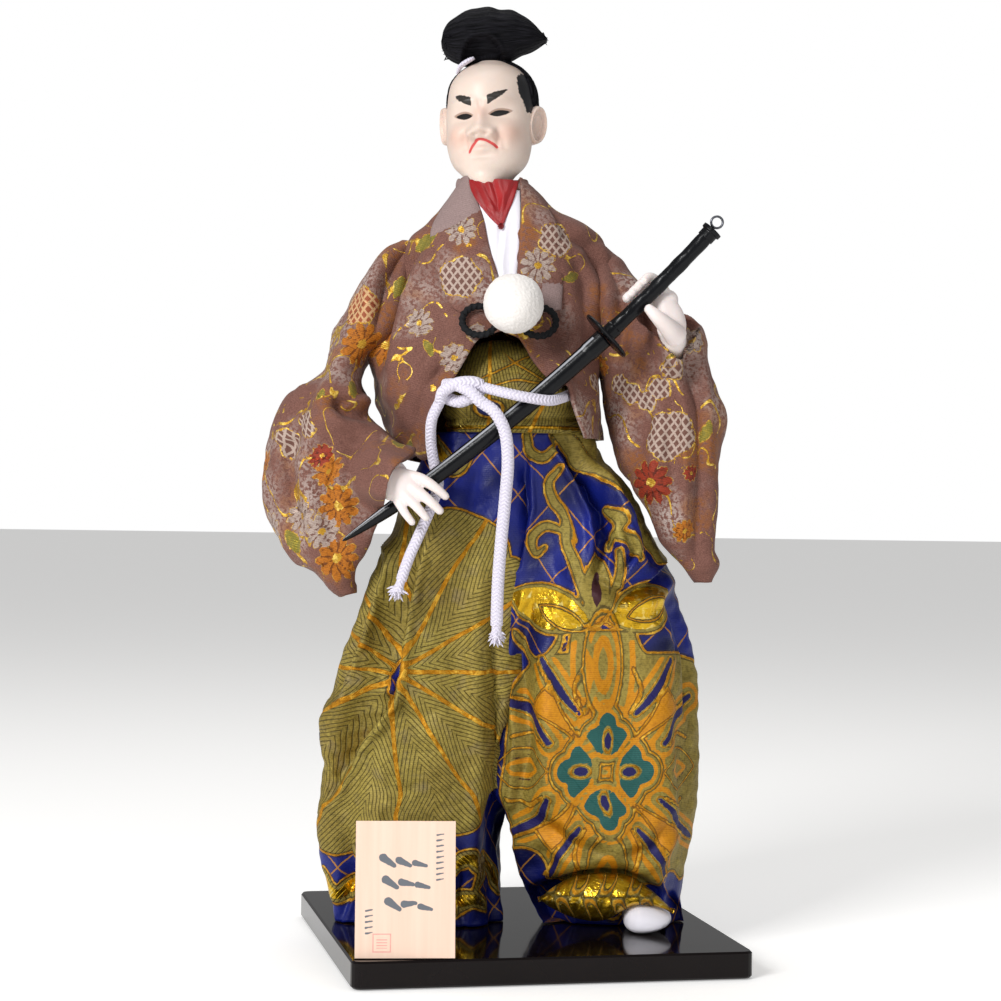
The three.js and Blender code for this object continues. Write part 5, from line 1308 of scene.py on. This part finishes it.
for gap in (*(nearLine(x, z, smoothLine(line, 30))[0] for line in seamLines), z - sashSet["trimAt"] - 0.02 * x):
    rim = np.where(np.abs(gap) <= np.abs(rim), gap, rim)
closedX = np.concatenate([x, x[:, :1]], 1)
sash = surface("domed_sash", belly, uv=(closedX * 1.2 + sashSet["mapAt"][0], z[:, :1] + sashSet["mapAt"][1]),
               fields=brocadeFields(x.shape, olive=-blueGap, rim=rim, gilt=np.abs(z - sashSet["trimAt"]) - 0.5))
dressed(sash, trouserCloth, "trouser_brocade", "waist_sash")
print("sash made")

# Collars: white under-robe and red satin neckerchief, each a band crossed over the other at the front
whiteBand = drape("white_under_collar", [[-17.2, 236], [-16.4, 230.6], [-14.2, 220.3], [-10.9, 207], [-10.4, 202]],
                  [[-1.4, 236], [-1.2, 229.6], [-1.6, 216], [-2.2, 206.7], [-2.0, 202]], 0.45, 0.7,
                  [([[-6, 230], [-7.4, 222], [-8.2, 212], [-7, 203]], 0.5, 0.7, 1),
                   ([[-12, 226], [-10.4, 214], [-9, 204]], 0.35, 1.2, 1),
                   ([[-4, 226], [-4.4, 214], [-4.6, 204]], 0.3, 1.2, 1)])
redBand = drape("red_satin_collar", [[-18.0, 239.2], [-16.9, 235.4], [-12.2, 228.6], [-8.2, 224.4], [-7.3, 224.0]],
                [[-1.9, 239.2], [-2.8, 235.4], [-4.4, 230.4], [-6.4, 225.2], [-7.1, 224.0]], 1.3, 0.9,
                [([[-16, 239], [-12, 230], [-7.6, 225.4]], 0.5, 0.7, 1),
                 ([[-3, 239], [-5.6, 231], [-7.2, 225.6]], 0.5, 0.7, 1),
                 ([[-10.5, 240], [-8.6, 233], [-7.6, 227]], 0.7, 0.8, 1),
                 ([[-13.6, 240], [-10.4, 233], [-8.4, 228]], 0.35, 0.6, 1)])

# Plain woven cotton: matt, cool white, threads 0.45 mm, drawn a little coarse
whiteCotton, tree, shader, parts = newMaterial("plainWovenCotton", {"tint": (120, 2)}, "xyz")
written(tree, parts, colour=("#E8E5F0", ("tint", "#F8F6FC")))
feed(tree, shader, parts, "0.8 + tint * 0.1", "sin(x * 14000) * sin(z * 14000 + y * 9000)", 0.00004)
dressed(whiteBand, whiteCotton, "white_cloth", "white_collar")

# Woven red satin: a soft sheen along fine slanting floats 0.4 mm apart
redSatin, tree, shader, parts = newMaterial("wovenRedSatin", {"tint": (150, 2)}, "xyz")
written(tree, parts, colour=("#7E060B", ("tint", "#A80F14")))
feed(tree, shader, parts, "0.3 + tint * 0.16", "sin(x * 16000 + z * 9000)", 0.00003)
shader.inputs["Sheen Weight"].default_value = 0.05
dressed(redBand, redSatin, "red_satin", "red_collar")

# Ball of short pile, with a twisted black cord bow behind it
ballSet = {"centre": (-3.1, -38.6, 198.9), "radius": 9.0, "rows": 100, "columns": 150}
ball = egg(ballSet["centre"], [ballSet["radius"]] * 3, 0, ballSet["rows"], ballSet["columns"])
ball = ball + outward(ball) * (waves(ball, 9, 51) * 0.10 + waves(ball, 1.3, 52, 12) * 0.06)[..., None]

# Short white pile: matt and soft, tufts about 0.7 mm across
pile, tree, shader, parts = newMaterial("shortWhitePile", {"tuft": (1500, 3)})
written(tree, parts, colour=("#D6D0CB", ("tuft", "#EFEBE7")))
feed(tree, shader, parts, "0.85 + tuft * 0.1", "tuft", 0.0002)
shader.inputs["Sheen Weight"].default_value = 0.3
dressed(surface("pile_ball", ball), pile, "white_pile", "breast_ball")

# Twisted black cotton cord: matt, with fuzz
blackCord, tree, shader, parts = newMaterial("twistedBlackCord", {"fluff": (1800, 3)})
written(tree, parts, colour=("#08090A", ("fluff", "#1E1F22")))
feed(tree, shader, parts, "0.7 + fluff * 0.2", "fluff", 0.00015)
shader.inputs["Specular IOR Level"].default_value = 0.2
bowSet = {"middle": (-4.4, 194.4), "apart": 9.0, "half": (5.2, 4.5), "radius": 1.0, "rows": 120, "sides": 18}
for side, name in ((-1, "bow_loop_right"), (1, "bow_loop_left")):
    a = 0.5 + np.linspace(0, 1, bowSet["rows"]) * (2 * math.pi - 1)
    x = bowSet["middle"][0] + side * (bowSet["apart"] - bowSet["half"][0] * np.cos(a))
    z = bowSet["middle"][1] + bowSet["half"][1] * np.sin(a)
    line = np.stack([x, chestDepth(x, z) * 0.3 + through(jacketFront, z) * 0.7 - 3.4, z], -1)
    loop = rod(line, bowSet["radius"], bowSet["sides"])
    along, around = np.arange(bowSet["rows"])[:, None], np.arange(bowSet["sides"])
    ridge = np.sin(along * 0.8 + around * math.pi / 4.5)  # two strands twisted round each other
    loop = loop + outward(loop) * (0.16 * ridge)[..., None]
    dressed(surface("twisted_" + name, loop), blackCord, "black_cord", name)
print("collars, ball and bow made")

# Left foot in a split-toed sock: level rings from heel to toe with a flat sole and a groove beside the big toe
footSet = {"middle": 41.2, "sole": 8.35, "length": (5, -24.2), "rows": 90, "columns": 100}
t = np.sin(np.linspace(0, 1, footSet["rows"]) * math.pi / 2)[:, None]
y = footSet["length"][0] + (footSet["length"][1] - footSet["length"][0]) * t
half = through([[-24.2, 0.3], [-24, 2.0], [-23, 4.3], [-20.6, 6.4], [-16, 7.4], [5, 6.6]], y)
top = through([[-24.2, 10.6], [-23.9, 11.9], [-22.4, 13.8], [-19.4, 15.6], [-14, 16.7], [5, 18]], y)
under = through([[-24.2, 10.2], [-23.9, 9.4], [-22.8, 8.7], [-21, 8.35], [5, 8.35]], y)
a = 2 * math.pi * np.arange(footSet["columns"])[None, :] / footSet["columns"]
c, s = np.cos(a), np.sin(a)
side = half * c
z = (top + under) / 2 + (top - under) / 2 * np.where(s > 0, np.abs(s), -np.abs(s) ** 0.75) * (1 - 0.06 * side)
cleft = np.exp(-((side + 3.4) / 0.5) ** 2) * np.clip((-19 - y) / 5, 0, 1) * (s > 0)
tabi = np.stack([footSet["middle"] + side, y + 0 * a, np.maximum(z - 0.25 * cleft, footSet["sole"])], -1)
dressed(surface("split_toed_sock", tabi), whiteCotton, "white_cloth", "left_foot")
print("foot made")

# Planed white cedar plaque: pale pink-tan, faint upright grain, with grey brushed strokes that are no letters
plaqueWood, tree, shader, parts = newMaterial("planedWhiteCedar", {})
plaqueSet = {"Location": (-0.0444, -0.0576, 0.0083), "Rotation": (math.radians(-9), 0, math.radians(-7))}  # as it leans
onPlaque = addNode(tree, "Mapping", {"Vector": addNode(tree, "TexCoord").outputs["Object"], **plaqueSet},
                   vector_type="TEXTURE").outputs[0]
parts.update(zip("xyz", addNode(tree, "SeparateXYZ", {0: onPlaque}).outputs))
parts["normal"] = addNode(tree, "SeparateXYZ", {0: addNode(tree, "NewGeometry").outputs["Normal"]}).outputs[1]
drawnOut = addNode(tree, "CombineXYZ", {0: parts["x"], 1: parts["y"], 2: drawn(tree, "z * 0.04", parts)}).outputs[0]
for key, at, scale, detail in (("grain", drawnOut, 420.0, 5.0), ("wander", onPlaque, 900.0, 3.0)):
    parts[key] = addNode(tree, "TexNoise", {"Vector": at, "Scale": scale, "Detail": detail}).outputs["Fac"]
# Each stroke in millimetres on the plaque: from x, z to x, z, and half its width; three rows large, two columns small
brush = [(-6.4 + 4.6 * k + 0.8 * row, 28.4 - 6.2 * row - 0.7 * k, -3.2 + 4.6 * k + 0.8 * row,
          26.2 - 6.2 * row + 0.9 * (k % 2) * row,
          0.95 - 0.12 * k) for row in range(3) for k in range(3)]
brush += [(side - 0.9, high, side + 0.9, high + 0.3, 0.24) for side, first, count in ((10.0, 35, 9), (-10.4, 13.4, 5))
          for high in [first - 1.6 * k for k in range(count)]]
parts["ink"] = farOff
for p, q, endX, endZ, w in brush:  # the distance from the stroke's line, less a width that narrows along it
    l = math.hypot(endX - p, endZ - q)
    parts.update(p=p, q=q, l=l, w=w, c=(endX - p) / l, s=(endZ - q) / l)
    written(tree, parts, a="(x * 1000 - p) * c + (z * 1000 - q) * s", b="(z * 1000 - q) * c - (x * 1000 - p) * s",
            past="a - min(max(a, 0), l)", ink="min(ink, sqrt(past * past + b * b) - w * (1.25 - a / l * 0.6))")
written(
    tree, parts,
    seal="abs(max(abs(x * 1000 + 6.7), abs(z * 1000 - 4.3)) - 2.5) - 0.12",
    bars="max(abs(fold(z * 1000, 0.8) - 0.4) - 0.12, max(abs(x * 1000 + 6.7) - 1.5, abs(z * 1000 - 4.3) - 1.5))",
    facing="over(0 - normal, 0.8)",
    colour=("#E6C3AD", ("min(max(grain * 2 - 0.3, 0), 1)", "#EDD0BC"),
            ("step((0 - min(seal, bars)) * 2 + 0.1) * (0.35 + wander * 0.4) * facing", "#DE6E72"),
            ("step((0 - ink + (wander - 0.5) * 0.4) * 1.2) * facing", "#646970")))
feed(tree, shader, parts, "0.6 + grain * 0.15", "grain", 0.00006)

# Polished black urushi-type lacquer: mirror gloss over near-black brown, with very slight waves from rubbing
blackLacquer, tree, shader, parts = newMaterial("polishedBlackLacquer", {"rubbing": (35, 2), "dust": (900, 2)})
written(tree, parts, colour=("#0B0707", ("rubbing", "#150F0F")))
feed(tree, shader, parts, "0.05 + dust * 0.06", "rubbing", 0.00003)
shader.inputs["Specular IOR Level"].default_value = 0.15
for node, material in (("name_plaque", plaqueWood), ("base_board", blackLacquer)):
    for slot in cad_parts[node].material_slots:
        slot.material = material
print("plaque and board finished")


# Floor and light
floorSet = {"size": 9.0, "height": -0.0004}
floorMesh = bpy.data.meshes.new("pale_floor")
floorMesh.from_pydata([(x * floorSet["size"], y * floorSet["size"], floorSet["height"])
                       for x, y in ((-1, -1), (1, -1), (1, 1), (-1, 1))], [], [(0, 1, 2, 3)])
floor = bpy.data.objects.new("pale_floor", floorMesh)
scene.collection.objects.link(floor)
floorPaint, tree, shader, parts = newMaterial("mattPaperFloor", {})
shader.inputs["Base Color"].default_value = hexColour("#F4F3F1")
shader.inputs["Roughness"].default_value = 0.9
shader.inputs["Emission Color"].default_value = (1, 1, 1, 1)
shader.inputs["Emission Strength"].default_value = 0.3  # a floor lit from below, as on a light table
floor.data.materials.append(floorPaint)
lamps = [("key", (-0.85, -0.8, 0.65), 0.4, 13.0), ("fill", (0.4, -1.0, 0.4), 0.7, 1.2),
         ("top", (0.0, 0.2, 1.1), 0.6, 3.0)]
for name, place, size, power in lamps:
    lamp = bpy.data.objects.new(name, bpy.data.lights.new(name, "AREA"))
    lamp.data.size = size
    lamp.data.energy = power
    away = Vector(place) - Vector((0, 0, 0.14))  # each lamp looks at the doll's middle
    lamp.matrix_world = Matrix.Translation(place) @ away.to_track_quat("Z", "Y").to_matrix().to_4x4()
    scene.collection.objects.link(lamp)
world = bpy.data.worlds.new("studio") if scene.world is None else scene.world
scene.world = world
world.use_nodes = True
paper, soft = world.node_tree.nodes["Background"], world.node_tree.nodes.new("ShaderNodeBackground")
paper.inputs["Color"].default_value = soft.inputs["Color"].default_value = (1, 1, 1, 1)
paper.inputs["Strength"].default_value = 1.0
soft.inputs["Strength"].default_value = 0.32
shown = addNode(world.node_tree, "MixShader", {0: addNode(world.node_tree, "LightPath").outputs["Is Camera Ray"],
                                               1: soft.outputs[0],
                                               2: paper.outputs[0]})  # white paper behind, softer light from it
world.node_tree.links.new(shown.outputs[0], world.node_tree.nodes["World Output"].inputs["Surface"])
